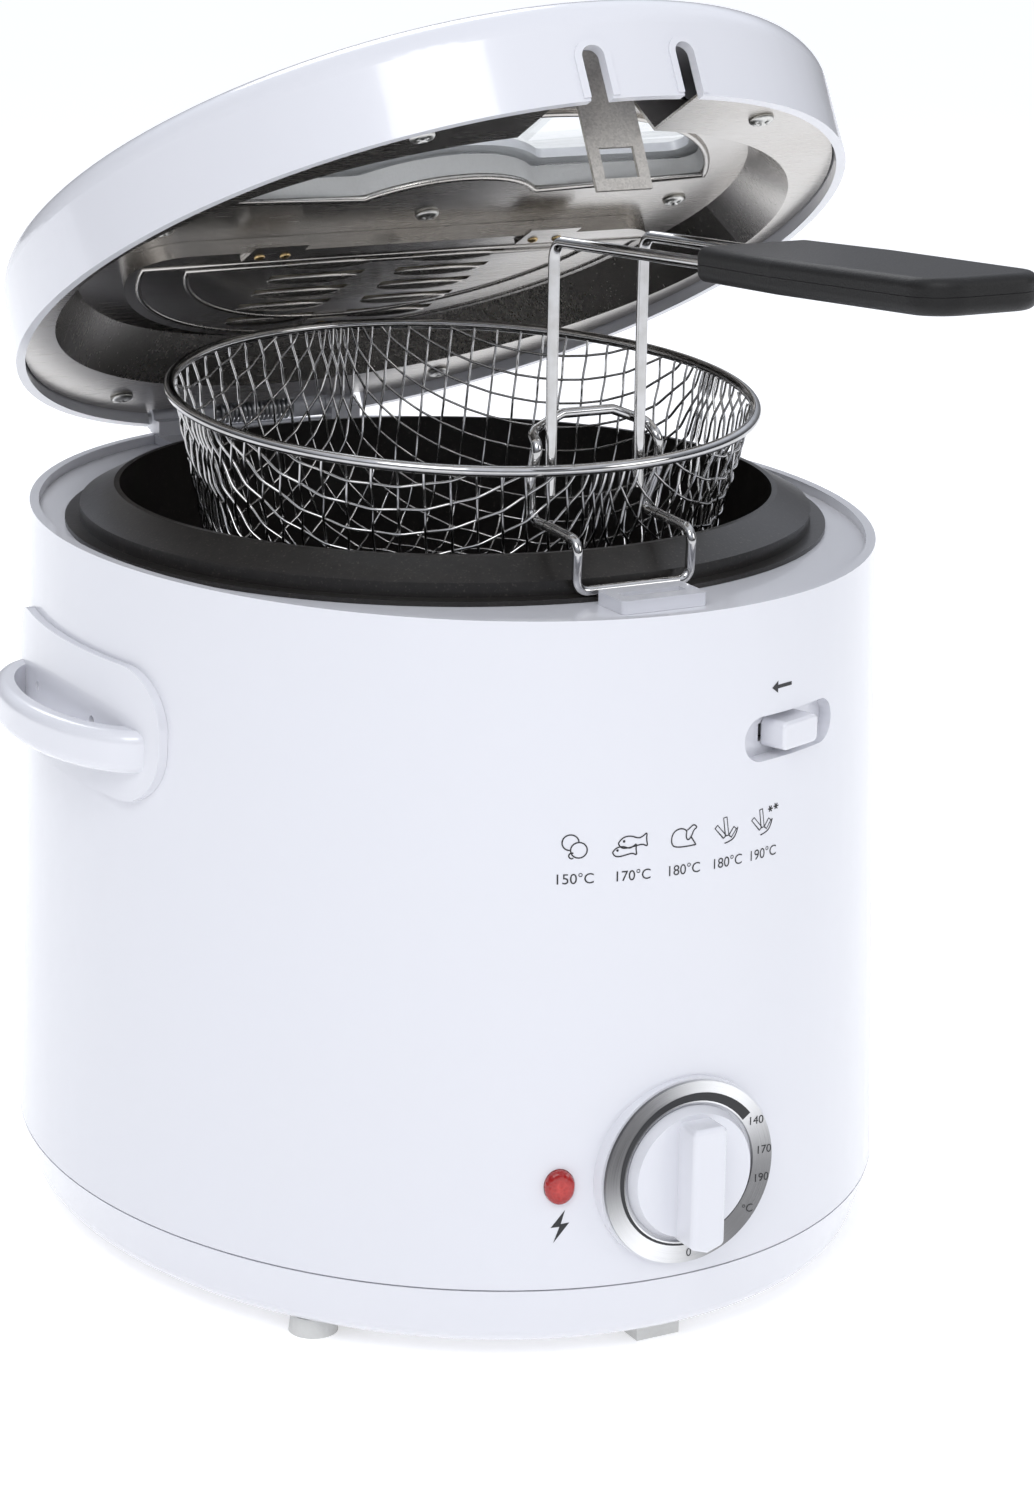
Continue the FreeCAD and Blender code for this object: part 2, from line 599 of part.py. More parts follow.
nose = block(-3.4, 3.4, strip_y - 3.6, nose_end, catch_z, catch_z + 2.6)
seat = block(-5.5, 5.5, -catch_b + WALL + val("catch_travel") + 0.6, strip_y - 2.8, catch_z - 3, catch_z + 5)
solid("latch_catch", nose.fuse(seat).removeSplitter())

cup = block(-11.5, 11.5, strip_y - 6.4, strip_y + 6.4, LEDGE + val("seat_gap"), RECEPT_TOP)
cup = rounded_edges(cup, 1.2, lambda e: e.BoundBox.ZLength > 1)
cup = cup.fuse(block(-9.4, 9.4, strip_y - 2.5, strip_y + 2.5, LEDGE - val("ledge_plate") - 3, LEDGE + 1))
cup = cup.cut(block(-8.4, 8.4, strip_y - 1.8, strip_y + 1.8, LEDGE - 20, RECEPT_TOP + 1))
cup = cup.cut(block(-3.8, 3.8, strip_y - 4.0, strip_y - 1.0, catch_z - 0.4, catch_z + 3.0))
solid("latch_receptacle", cup.removeSplitter())

# %% side handles: a plate that follows the shell and a curved loop
grip_z = val("grip_height")
sheet_a = val("plate_sheet")
low_a, low_b = shell_half(grip_z - 40)
high_a, high_b = shell_half(grip_z + 40)
skin_in = oval_solid((low_a + 0.05, low_b + 0.05, grip_z - 40), (high_a + 0.05, high_b + 0.05, grip_z + 40))
skin_out = oval_solid(
    (low_a + sheet_a, low_b + sheet_a, grip_z - 40), (high_a + sheet_a, high_b + sheet_a, grip_z + 40)
)
skin = skin_out.cut(skin_in)
tall = val("plate_tall") / 2
plate = block(A - 20, A + 40, -val("plate_half"), val("plate_half"), grip_z - tall, grip_z + tall)
plate = rounded_edges(plate, tall - 2, lambda e: e.BoundBox.XLength > 50)
plate = plate.common(skin)
side_a, side_b = shell_half(grip_z)
reach = val("grip_reach")
long = val("grip_half")
band = val("grip_band")
bar_low = grip_z - val("grip_drop") - val("grip_tall") / 2
bar_high = grip_z - val("grip_drop") + val("grip_tall") / 2
root = side_a - 6.0
loop_out = oval_solid((reach + 6.0, long, bar_low), (reach + 6.0, long, bar_high))
loop_in = oval_solid((reach + 6.0 - band, long - band - 2, bar_low - 1),
                     (reach + 6.0 - band, long - band - 2, bar_high + 1))
loop_out = rounded_edges(loop_out, 3.0, lambda e: e.BoundBox.ZLength < 0.01)
loop = loop_out.cut(loop_in)
loop.translate(Vector(root, 0, 0))
loop = loop.common(block(A - 30, A + 60, -90, 90, 0, RIM)).cut(skin_in)
handle = plate.fuse(loop).removeSplitter()
for along in (-1, 1):
    pilot = Part.makeCylinder(1.3, 30.0, Vector(A - 20, along * 18.0, screw_z), Vector(1, 0, 0))
    handle = handle.cut(pilot.common(skin_out))
mirror = FreeCAD.Matrix()
mirror.scale(-1, 1, 1)
solid("side_handle_right", handle)
solid("side_handle_left", handle.transformGeometry(mirror))
pins = []
for side in (-1, 1):
    for along in (-1, 1):
        inner_a, inner_b = shell_half(screw_z)
        wall_x = inner_a * math.sqrt(1 - (18.0 / inner_b) ** 2) - WALL
        centre = Vector(side * (wall_x - 2.15), along * 18.0, screw_z)
        head = Part.makeCylinder(3.0, 1.7, centre, Vector(side, 0, 0))
        shank = Part.makeCylinder(1.25, 5.6, centre, Vector(side, 0, 0))
        pins.append(head.fuse(shank).removeSplitter())
solid("handle_screws", Part.makeCompound(pins))

# %% hinge: bracket on the ledge, pin and spring
hy = HINGE.y
hz = HINGE.z
knuckle = val("knuckle_radius")
pin_r = val("pin_radius")
X_AXIS = Vector(1, 0, 0)
bracket = block(-32, 32, val("flange_radius") + 1.5, hy - 0.5, LEDGE + val("seat_gap"), LEDGE + 2.4)
for side in (-1, 1):
    x0 = 22.5 if side > 0 else -31.5
    bracket = bracket.fuse(Part.makeCylinder(knuckle, 9.0, Vector(x0, hy, hz), X_AXIS))
    bracket = bracket.fuse(block(x0, x0 + 9.0, hy - 7.0, hy - 0.5, LEDGE + 1, hz))
lip_ring = oval_solid((A + 9, B + 9, LEDGE - 1), (A + 9, B + 9, RIM + 0.1))
bracket = bracket.cut(lip_ring.cut(oval_solid((A - lip - 0.1, B - lip - 0.1, LEDGE - 1),
                                              (A - lip - 0.1, B - lip - 0.1, RIM + 0.2))))
bracket = bracket.cut(Part.makeCylinder(pin_r, 80, Vector(-40, hy, hz), X_AXIS))
solid("hinge_bracket", bracket.removeSplitter())
solid("hinge_pin", Part.makeCylinder(pin_r, 66, Vector(-33, hy, hz), X_AXIS))
coil = Part.makeHelix(1.35, 21.6, pin_r + 1.0)
section = Part.Wire([Part.makeCircle(0.5, Vector(pin_r + 1.0, 0, 0), Vector(0, 1, 0))])
coil = Part.Wire(coil.Edges).makePipeShell([section], True, True)
coil.Placement = Placement(Vector(-10.8, hy, hz), Rotation(Vector(0, 0, 1), X_AXIS))
solid("hinge_spring", coil)

# %% lid shell, modelled shut and then opened about the hinge
draft = val("lid_draft")
lid_wall = val("lid_wall")
edge_a = A + val("lid_overhang")
edge_b = B + val("lid_overhang")
cover = oval_solid((edge_a, edge_b, LID_EDGE), (edge_a - draft, edge_b - draft, LID_TOP))
cover = rounded_edges(cover, val("lid_round"), lambda e: e.BoundBox.ZMin > LID_TOP - 0.01)
hollow = oval_solid(
    (edge_a - lid_wall, edge_b - lid_wall, LID_EDGE - 0.01),
    (edge_a - draft - lid_wall, edge_b - draft - lid_wall, LID_ROOF),
)
hollow = rounded_edges(hollow, val("lid_round") - lid_wall, lambda e: e.BoundBox.ZMin > LID_ROOF - 0.01)


def window_shape(grow, z0, z1):
    """The window's outline: a disc's front segment with a lobe bulging into it."""
    form = disc(val("window_radius") + grow, z0, z1)
    line = -val("window_line") + grow
    form = form.common(block(-200, 200, -200, line, z0, z1))
    form = form.cut(disc(val("lobe_radius") - grow, z0, z1, 0, -val("lobe_offset")))
    upright = [e for e in form.Edges if e.BoundBox.ZLength > 0.9 * (z1 - z0) and abs(e.Vertexes[0].X) > 1]
    return form.makeFillet(4.0, upright)


def filter_shape(grow, z0, z1):
    """The filter's outline: the rear part of a disc, rounded at its corners."""
    form = disc(val("filter_radius") + grow, z0, z1)
    form = form.common(block(-200, 200, val("filter_line") - grow, 200, z0, z1))
    upright = [e for e in form.Edges if e.BoundBox.ZLength > 0.9 * (z1 - z0) and abs(e.Vertexes[0].X) > 60]
    return form.makeFillet(12.0, upright)


def slot_shape(x, grow):
    """The round-topped slot for one wire of the basket's handle, through the lid's front skirt."""
    half_slot = val("wire_slot") / 2 + grow
    centre = LID_EDGE + val("wire_slot_rise") - val("wire_slot") / 2
    body = block(x - half_slot, x + half_slot, -B - 5, -B * 0.8, LID_EDGE - 1 + grow, centre)
    return body.fuse(Part.makeCylinder(half_slot, B * 0.2 + 5, Vector(x, -B - 5, centre), Vector(0, 1, 0)))


rise = val("border_rise")
proud = oval_solid((edge_a + rise, edge_b + rise, LID_EDGE), (edge_a - draft + rise, edge_b - draft + rise, LID_TOP))
proud = proud.cut(hollow)
lid = cover.cut(hollow)
for side in (-1, 1):
    border = proud.common(slot_shape(side * val("handle_half"), val("slot_border")))
    lid = lid.fuse(border.common(block(-60, 60, -B - 5, 5 - B, LID_EDGE, LID_TOP)))
lid = lid.cut(window_shape(-3.0, LID_ROOF - 1, LID_TOP + 1))
for side in (-1, 1):
    lid = lid.cut(slot_shape(side * val("handle_half"), 0.0))
lid = lid.cut(block(-34, 34, hy - 8, B + 5, LID_EDGE - 1, hz + knuckle + 1.6))
for row in range(4):
    y = 26.0 + row * 13.0
    for side in (-1, 1):
        lid = lid.cut(block(side * 24 - 17, side * 24 + 17, y - 1.6, y + 1.6, LID_ROOF - 1, LID_TOP + 1))
RING_SCREWS = [(0.47 * A, 0.77 * B), (-0.47 * A, 0.77 * B), (0.44 * A, -0.79 * B), (-0.44 * A, -0.79 * B)]
PANEL_SCREWS = [(0.0, -8.0), (74.0, -8.0), (-74.0, -8.0)]
for x, y in RING_SCREWS:
    post = disc(4.2, PAN_FLANGE + SHEET + 0.05, LID_ROOF + 0.5, x, y)
    lid = lid.fuse(post.common(cover)).cut(disc(1.5, PAN_FLANGE, PAN_FLANGE + 12, x, y))
for x, y in PANEL_SCREWS:
    post = disc(4.2, PAN_FLOOR + SHEET + 0.05, LID_ROOF + 0.5, x, y)
    lid = lid.fuse(post).cut(disc(1.5, PAN_FLOOR, PAN_FLOOR + 7, x, y))
STRIP_TOP = LID_ROOF - 5.0
mount_y = strip_y + 7.0
post = disc(4.2, STRIP_TOP + 0.05, LID_ROOF + 0.5, 0, mount_y)
lid = lid.fuse(post.common(cover)).cut(disc(1.5, STRIP_TOP - 1, LID_ROOF - 1.0, 0, mount_y))
solid("lid_shell", lid, OPEN_LID)

# %% lid pan: flange ring, recess wall and floor in one pressed sheet
mouth_r = val("pan_mouth")
floor_r = val("pan_floor_radius")
profile = Part.makePolygon([
    Vector(0, 0, PAN_FLOOR), Vector(floor_r, 0, PAN_FLOOR), Vector(mouth_r, 0, PAN_FLANGE),
    Vector(2 * B, 0, PAN_FLANGE), Vector(2 * B, 0, PAN_FLANGE + SHEET),
    Vector(mouth_r + SHEET, 0, PAN_FLANGE + SHEET), Vector(floor_r + SHEET, 0, PAN_FLOOR + SHEET),
    Vector(0, 0, PAN_FLOOR + SHEET), Vector(0, 0, PAN_FLOOR),
])
pan = Part.Face(profile).revolve(Vector(0, 0, 0), Vector(0, 0, 1), 360)
trim_a = edge_a - lid_wall - draft * 0.2 - 0.3
trim_b = edge_b - lid_wall - draft * 0.2 - 0.3
pan = pan.common(oval_solid((trim_a, trim_b, PAN_FLANGE - 1), (trim_a, trim_b, PAN_FLOOR + 5)))
pan = pan.cut(window_shape(0.0, PAN_FLOOR - 1, PAN_FLOOR + 2))
pan = pan.cut(filter_shape(-8.0, PAN_FLOOR - 1, PAN_FLOOR + 2))
notch = val("pan_notch")
pan = pan.cut(block(-notch, notch, -2 * B, 1.5 - floor_r, PAN_FLANGE - 1, PAN_FLOOR - 0.2))
pan = pan.cut(block(-34.5, 34.5, hy - 9, 2 * B, PAN_FLANGE - 1, PAN_FLANGE + 3))
for x, y in RING_SCREWS:
    pan = pan.cut(disc(1.7, PAN_FLANGE - 1, PAN_FLANGE + 2, x, y))
for x, y in PANEL_SCREWS:
    pan = pan.cut(disc(1.7, PAN_FLOOR - 1, PAN_FLOOR + 2, x, y))
solid("lid_pan", pan.removeSplitter(), OPEN_LID)

lid_screws = []
for x, y, z in [(x, y, PAN_FLANGE) for x, y in RING_SCREWS] + [(x, y, PAN_FLOOR) for x, y in PANEL_SCREWS]:
    head = disc(3.2, z - 1.5, z - 0.05, x, y)
    head = head.cut(disc(1.4, z - 1.6, z - 0.9, x, y))
    lid_screws.append(head.fuse(disc(1.45, z - 0.3, z + 6.0, x, y)).removeSplitter())
solid("lid_screws", Part.makeCompound(lid_screws), OPEN_LID)

# %% window, filter and latch strip of the lid
glass_top = LID_ROOF - 0.3
glass_low = glass_top - val("glass_thick")
solid("window_glass", window_shape(1.5, glass_low, glass_top), OPEN_LID)
gasket = window_shape(1.5, PAN_FLOOR + SHEET + 0.05, glass_low - 0.05)
gasket = gasket.cut(window_shape(-0.5, PAN_FLOOR, glass_low + 1))
solid("window_gasket", gasket, OPEN_LID)
drop = val("filter_rise")
vent = filter_shape(0.0, PAN_FLOOR - drop, PAN_FLOOR - 0.05)
vent = vent.cut(filter_shape(-SHEET, PAN_FLOOR - drop + SHEET, PAN_FLOOR + 1))
for row in range(5):
    y = val("filter_line") + 10.0 + row * 11.5
    wide = min(27.0, math.sqrt((val("filter_radius") - 9) ** 2 - y**2) - 8)
    for side in (-1, 1):
        x0 = 5.0 if side > 0 else -5.0 - wide
        vent = vent.cut(block(x0, x0 + wide, y - 1.5, y + 1.5, PAN_FLOOR - drop - 1, PAN_FLOOR - drop + 2))
solid("filter_cover", vent, OPEN_LID)
pad = filter_shape(-9.0, PAN_FLOOR - drop + SHEET + 0.4, LID_ROOF - 0.6)
for x, y in PANEL_SCREWS:
    pad = pad.cut(disc(5.0, PAN_FLOOR - 5, LID_ROOF, x, y))
solid("filter_pad", pad, OPEN_LID)
tabs = []
rivets = []
line = val("filter_line")
for x in (-0.38 * A, 0.38 * A):
    tabs.append(block(x - 7.5, x + 7.5, line - 6.0, line + 4.5, PAN_FLOOR - drop - 0.85, PAN_FLOOR - drop - 0.05))
    for dx in (-3.6, 3.6):
        rivets.append(disc(1.4, PAN_FLOOR - drop - 1.5, PAN_FLOOR - drop - 0.9, x + dx, line + 1.5))
tabs.append(block(-6.0, 6.0, 61.0, 72.0, PAN_FLOOR - drop - 0.85, PAN_FLOOR - drop - 0.05))
rivets.append(disc(1.4, PAN_FLOOR - drop - 1.5, PAN_FLOOR - drop - 0.9, 0, 66.0))
solid("filter_tabs", Part.makeCompound(tabs), OPEN_LID)
solid("filter_rivets", Part.makeCompound(rivets), OPEN_LID)

strip_w = val("strip_width") / 2
strip_s = val("strip_sheet") / 2
strip_low = LID_EDGE - val("strip_drop")
latch = block(-strip_w, strip_w, strip_y - strip_s, strip_y + strip_s, strip_low, STRIP_TOP)
latch = latch.cut(block(-4.6, 4.6, strip_y - 2, strip_y + 2, strip_low + 2.9, strip_low + 10.5))
tongue = block(-strip_w, strip_w, strip_y - strip_s, mount_y + 4.5, STRIP_TOP - 2 * strip_s, STRIP_TOP)
tongue = tongue.cut(disc(1.7, STRIP_TOP - 3, STRIP_TOP + 1, 0, mount_y))
solid("latch_strip", latch.fuse(tongue).removeSplitter(), OPEN_LID)
head = disc(3.0, STRIP_TOP - 2 * strip_s - 1.5, STRIP_TOP - 2 * strip_s - 0.05, 0, mount_y)
latch_screw = head.fuse(disc(1.45, STRIP_TOP - 2 * strip_s - 0.5, LID_ROOF - 1.2, 0, mount_y))
solid("latch_screw", latch_screw.removeSplitter(), OPEN_LID)

knuckles = None
for side in (-1, 1):
    x0 = 12.2 if side > 0 else -22.2
    eye = Part.makeCylinder(knuckle, 10.0, Vector(x0, hy, hz), X_AXIS)
    arm = block(x0, x0 + 10.0, hy - 16.0, hy, PAN_FLANGE + SHEET + 0.1, hz + knuckle)
    piece = eye.fuse(arm)
    knuckles = piece if knuckles is None else knuckles.fuse(piece)
web = block(-22.2, 22.2, hy - 16.0, hy - 9.5, PAN_FLANGE + SHEET + 0.1, hz + knuckle)
knuckles = knuckles.fuse(web)
knuckles = knuckles.cut(Part.makeCylinder(pin_r + val("shaft_play"), 80, Vector(-40, hy, hz), X_AXIS))
solid("lid_hinge_arm", knuckles.removeSplitter(), OPEN_LID)

# %% basket: cup of woven wire, rim, bracket and drain hook
cup = turned(
    "basket_cup",
    [
        ("basket_rim - 0.6", "0 - rim_rod"),
        ("basket_floor_radius", "basket_corner - basket_deep"),
        ("basket_floor_radius - 0.293 * basket_corner", "0.293 * basket_corner - basket_deep"),
        ("basket_floor_radius - basket_corner", "0 - basket_deep"),
        ("0", "0 - basket_deep"),
        ("0", "mesh_wall - basket_deep"),
        ("basket_floor_radius - basket_corner", "mesh_wall - basket_deep"),
        (
            "basket_floor_radius - 0.293 * basket_corner - 0.7 * mesh_wall",
            "0.293 * basket_corner + 0.7 * mesh_wall - basket_deep",
        ),
        ("basket_floor_radius - mesh_wall", "basket_corner - basket_deep"),
        ("basket_rim - 0.6 - mesh_wall", "0 - rim_rod"),
    ],
)
rim = doc.addObject("Part::Torus", "basket_rim")
bind(rim, Radius1="basket_rim", Radius2="rim_rod")
for item in (cup, rim):
    place(item, "0", "0 - basket_shift", "basket_top", turn=Rotation(Vector(1, 0, 0), 1))
    bind(item, Placement__Rotation__Angle="basket_lean")
holes = [rod(f"stub_hole{i}", "hook_rod + 0.15", "30", (f"{s} hook_half", "0 - basket_rim - 20", "hook_top"),
             Vector(0, 1, 0)) for i, s in enumerate(("0 -", "0 +"))]
cut("basket_mesh", cup, *holes)

LEAN = Placement(
    Vector(0, -val("basket_shift"), val("basket_top")), Rotation(Vector(1, 0, 0), val("basket_lean"))
)
rod_r = val("hook_rod")
hook_x = val("hook_half")
hook_top = val("hook_top")
hook_y = -val("hook_front")


def inside_cup(x, down, clear):
    """A point x to the right and so far below the rim, on the front inside of the leaning cup."""
    share = max(down, 0.0) / (val("basket_deep") - val("basket_corner"))
    wall = val("basket_rim") - 0.6 - val("mesh_wall")
    wall -= share * (val("basket_rim") - 0.6 - val("basket_floor_radius"))
    y = -math.sqrt((wall - clear) ** 2 - x**2)
    return LEAN.multVec(Vector(x, y, -down))


stub_y = inside_cup(hook_x, 13.0, 0.0).y - 5.6
bracket_half = []
for x, down in ((hook_x + 2.0, 3.4), (hook_x + 1.0, -5.0)):
    bracket_half.append(tuple(inside_cup(x, down, rod_r + 0.35)))
shoulder = inside_cup(hook_x + 0.4, -7.6, 6.2)
summit = inside_cup(7.0, -11.0, 9.6)
low_y = inside_cup(hook_x, 13.0, rod_r + 0.9).y
bracket_half = [(hook_x, stub_y, hook_top), (hook_x, low_y, hook_top)] + bracket_half
bracket_half += [tuple(shoulder), tuple(summit)]
mirrored = [(-x, y, z) for x, y, z in reversed(bracket_half)]
solid("basket_bracket", bent_rod(bracket_half + mirrored, rod_r, 2.6))
hook_low = FLANGE_TOP + rod_r + 0.05
hook_wire = bent_rod(
    [
        (-hook_x, stub_y - 0.4, hook_top), (-hook_x, hook_y - 0.6, hook_top - 0.6),
        (-hook_x, hook_y, hook_low), (hook_x, hook_y, hook_low),
        (hook_x, hook_y - 0.6, hook_top - 0.6), (hook_x, stub_y - 0.4, hook_top),
    ],
    rod_r, 3.2,
)
solid("drain_hook", hook_wire)

# %% basket handle: two sprung wires and a two-part grip
wire_r = val("wire_radius")
wire_y = -val("wire_back")
wire_z = val("wire_high")
slope = math.tan(math.radians(val("arm_slope")))
grip_y = -val("grip_start")


def arm_height(y):
    return wire_z + (wire_y - y) * slope


for side, name in ((-1, "handle_wire_left"), (1, "handle_wire_right")):
    x = side * val("handle_half")
    end = grip_y - 16.0
    path = [(x, wire_y, val("wire_low")), (x, wire_y, wire_z), (x, end, arm_height(end))]
    solid(name, bent_rod(path, wire_r, 4.5))

grip_w = val("grip_wide") / 2
grip_end = grip_y - val("grip_long")
thick = val("grip_thick") / 2
plan = Part.makePolygon([
    Vector(-grip_w + 0.3, grip_y, 0), Vector(grip_w - 0.3, grip_y, 0), Vector(grip_w + 1.5, grip_y - 34, 0),
    Vector(grip_w, grip_end, 0), Vector(-grip_w, grip_end, 0), Vector(-grip_w - 1.5, grip_y - 34, 0),
    Vector(-grip_w + 0.3, grip_y, 0),
])
plan = Part.Face(plan)
tilt = Placement(Vector(0, 0, 0), Rotation(X_AXIS, -val("arm_slope")), Vector(0, wire_y, 0))
tilt = Placement(Vector(0, 0, wire_z), Rotation()).multiply(tilt)
for name, low, high in (("grip_lower", -thick, -0.05), ("grip_upper", 0.05, thick)):
    half_grip = plan.extrude(Vector(0, 0, high - low))
    half_grip.translate(Vector(0, 0, low))
    half_grip = rounded_edges(half_grip, 9.0, lambda e: e.BoundBox.ZLength > 3 and e.BoundBox.YMax < grip_end + 1)
    half_grip = rounded_edges(half_grip, 2.6, lambda e: e.BoundBox.ZLength > 3 and e.BoundBox.YMin > grip_y - 1)
    rim_z = low if low < -1 else high
    half_grip = rounded_edges(half_grip, 2.2, lambda e: abs(e.BoundBox.ZMin - rim_z) + e.BoundBox.ZLength < 0.01)
    for side in (-1, 1):
        x = side * val("handle_half")
        channel = Part.makeCylinder(wire_r + 0.3, 20.0, Vector(x, grip_y + 3, 0), Vector(0, -1, 0))
        squeeze = block(x - 2.6 if side > 0 else x, x if side > 0 else x + 2.6, grip_y - 17, grip_y + 3,
                        -wire_r - 0.3, wire_r + 0.3)
        half_grip = half_grip.cut(channel).cut(squeeze)
    solid(name, half_grip.removeSplitter(), tilt)

# %% check every object, then write one file for each sub-part
NODES = [
    "outer_shell", "base_cover", "base_screws", "rubber_feet", "front_foot", "inner_bowl", "heat_shield",
    "heating_element", "element_clamp", "clamp_stud", "thermostat", "thermal_cutout", "terminal_block",
    "cord_gland", "dial_ring", "knob", "thermostat_shaft", "lamp_lens", "lamp_holder", "release_slider",
    "release_link", "latch_catch", "latch_receptacle", "side_handle_right", "side_handle_left",
    "handle_screws", "hinge_bracket", "hinge_pin", "hinge_spring", "lid_shell", "lid_pan", "lid_screws",
    "window_glass", "window_gasket", "filter_cover", "filter_pad", "filter_tabs", "filter_rivets",
    "latch_strip", "latch_screw", "lid_hinge_arm", "basket_mesh", "basket_rim", "basket_bracket",
    "drain_hook", "handle_wire_left", "handle_wire_right", "grip_lower", "grip_upper",
]
doc.recompute()
for item in doc.Objects:
    if "Invalid" in item.State or "Error" in item.State:
        raise RuntimeError(f"{item.Label} failed: {item.State}")
shapes = {name: doc.getObjectsByLabel(name)[0].Shape for name in NODES}
bad = [name for name, shape in shapes.items() if shape.isNull() or not shape.isValid() or not shape.Solids]
if bad:
    raise RuntimeError(f"no valid solid: {bad}")
os.makedirs("parts", exist_ok=True)
for name, shape in shapes.items():
    shape.exportStep(f"parts/{name}.step")
    print(f"{name:20s} {len(shape.Solids)} solid(s) {shape.Volume:10.1f} mm3")
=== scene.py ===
# %% [markdown]
# # A compact deep fryer
# The fryer is an oval white plastic housing with a dark coated bowl, a lid with a window, and a wire
# basket on a handle that lifts off. The frame below is the measured model: every piece made here keeps
# its size and place, and adds what the frame only stands for, such as the woven wire and the print.

# %% Load the frame
import json
import math
import bmesh
import bpy
from mathutils import Matrix, Vector


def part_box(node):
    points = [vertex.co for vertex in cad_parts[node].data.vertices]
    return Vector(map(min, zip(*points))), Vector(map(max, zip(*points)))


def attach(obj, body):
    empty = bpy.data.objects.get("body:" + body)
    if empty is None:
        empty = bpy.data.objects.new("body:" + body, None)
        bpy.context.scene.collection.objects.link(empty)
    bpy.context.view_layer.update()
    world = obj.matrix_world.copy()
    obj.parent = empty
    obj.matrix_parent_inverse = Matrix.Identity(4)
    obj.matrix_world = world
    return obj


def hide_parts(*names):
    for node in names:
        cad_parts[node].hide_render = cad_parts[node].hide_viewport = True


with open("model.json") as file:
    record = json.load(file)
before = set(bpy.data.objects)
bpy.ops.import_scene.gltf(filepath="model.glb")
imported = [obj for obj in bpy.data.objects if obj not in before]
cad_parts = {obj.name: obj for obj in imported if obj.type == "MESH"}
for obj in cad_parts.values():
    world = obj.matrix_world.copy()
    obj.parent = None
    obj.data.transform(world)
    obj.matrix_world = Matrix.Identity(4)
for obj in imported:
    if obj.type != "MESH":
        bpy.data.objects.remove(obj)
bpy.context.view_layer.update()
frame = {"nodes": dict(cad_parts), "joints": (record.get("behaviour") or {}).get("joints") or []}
MM = 0.001

# %% [markdown]
# ## Camera and light
# The camera looks slightly down and from the left, through a long lens, so the oval housing keeps
# nearly parallel sides. Its place is worked out from three angles, which are easier to judge than
# three coordinates: the turn round the fryer, the height angle and the small roll of the horizon.

# %% Camera
TURN = math.radians(-28.7)
RAISE = math.radians(16.14)
ROLL = math.radians(0.9)
back = Vector((math.sin(TURN) * math.cos(RAISE), -math.cos(TURN) * math.cos(RAISE), math.sin(RAISE)))
right = Vector((math.cos(TURN), math.sin(TURN), 0))
up = back.cross(right)
right_rolled = right * math.cos(ROLL) + up * math.sin(ROLL)
up_rolled = up * math.cos(ROLL) - right * math.sin(ROLL)
camera_data = bpy.data.cameras.new("camera")
camera_data.lens = 90
camera_data.sensor_width = 36
camera = bpy.data.objects.new("camera", camera_data)
bpy.context.scene.collection.objects.link(camera)
target = Vector((0, 0, 0.095))
camera.location = target + 0.0199 * right_rolled + 0.0244 * up_rolled + 1.0021 * back
camera.rotation_euler = Matrix((right_rolled, up_rolled, back)).transposed().to_euler()
bpy.context.scene.camera = camera
print("camera at", [round(v, 3) for v in camera.location])

# %% [markdown]
# White glossy plastic shows its form through soft reflections and faint grey gradients, and plated
# wire looks like metal only when it has something dark to reflect. So the surround is not even: it is
# bright overhead and behind the camera, and dim near the horizon and at the two sides, as a studio
# with black cards is. Seen directly it is plain white.

# %% Surround
world = bpy.data.worlds.new("studio")
world.use_nodes = True
bpy.context.scene.world = world
bpy.context.scene.view_settings.view_transform = "Standard"
studio = world.node_tree


def studio_node(kind, **settings):
    node = studio.nodes.new(kind)
    for name, setting in settings.items():
        setattr(node, name, setting)
    return node


way = studio_node("ShaderNodeTexCoord")
apart = studio_node("ShaderNodeSeparateXYZ")
studio.links.new(way.outputs["Generated"], apart.inputs[0])
overhead = studio_node("ShaderNodeValToRGB")
overhead.color_ramp.elements[0].position = 0.0
overhead.color_ramp.elements[0].color = (0.16, 0.16, 0.17, 1)
overhead.color_ramp.elements[1].position = 0.75
overhead.color_ramp.elements[1].color = (0.9, 0.93, 1.0, 1)
low = overhead.color_ramp.elements.new(0.22)
low.color = (0.3, 0.31, 0.34, 1)
high = overhead.color_ramp.elements.new(0.42)
high.color = (0.82, 0.86, 0.96, 1)
studio.links.new(apart.outputs["Z"], overhead.inputs[0])
sideways = studio_node("ShaderNodeVectorMath", operation="DOT_PRODUCT")
studio.links.new(way.outputs["Generated"], sideways.inputs[0])
sideways.inputs[1].default_value = tuple(right)
amount = studio_node("ShaderNodeMath", operation="ABSOLUTE")
studio.links.new(sideways.outputs["Value"], amount.inputs[0])
card = studio_node("ShaderNodeMapRange")
for number, value in ((1, 0.55), (2, 0.86), (3, 1.0), (4, 0.34)):
    card.inputs[number].default_value = value
studio.links.new(amount.outputs[0], card.inputs[0])
lit = studio.nodes["Background"]
studio.links.new(overhead.outputs["Color"], lit.inputs["Color"])
studio.links.new(card.outputs[0], lit.inputs["Strength"])
seen = studio_node("ShaderNodeBackground")
seen.inputs["Color"].default_value = (1, 1, 1, 1)
path = studio_node("ShaderNodeLightPath")
either = studio_node("ShaderNodeMixShader")
studio.links.new(path.outputs["Is Camera Ray"], either.inputs[0])
studio.links.new(lit.outputs[0], either.inputs[1])
studio.links.new(seen.outputs[0], either.inputs[2])
studio.links.new(either.outputs[0], studio.nodes["World Output"].inputs["Surface"])

# %% [markdown]
# Three large discs of light do the modelling: a broad one from the upper left, a weaker one from the
# right and one from behind that draws the edge of the lid.

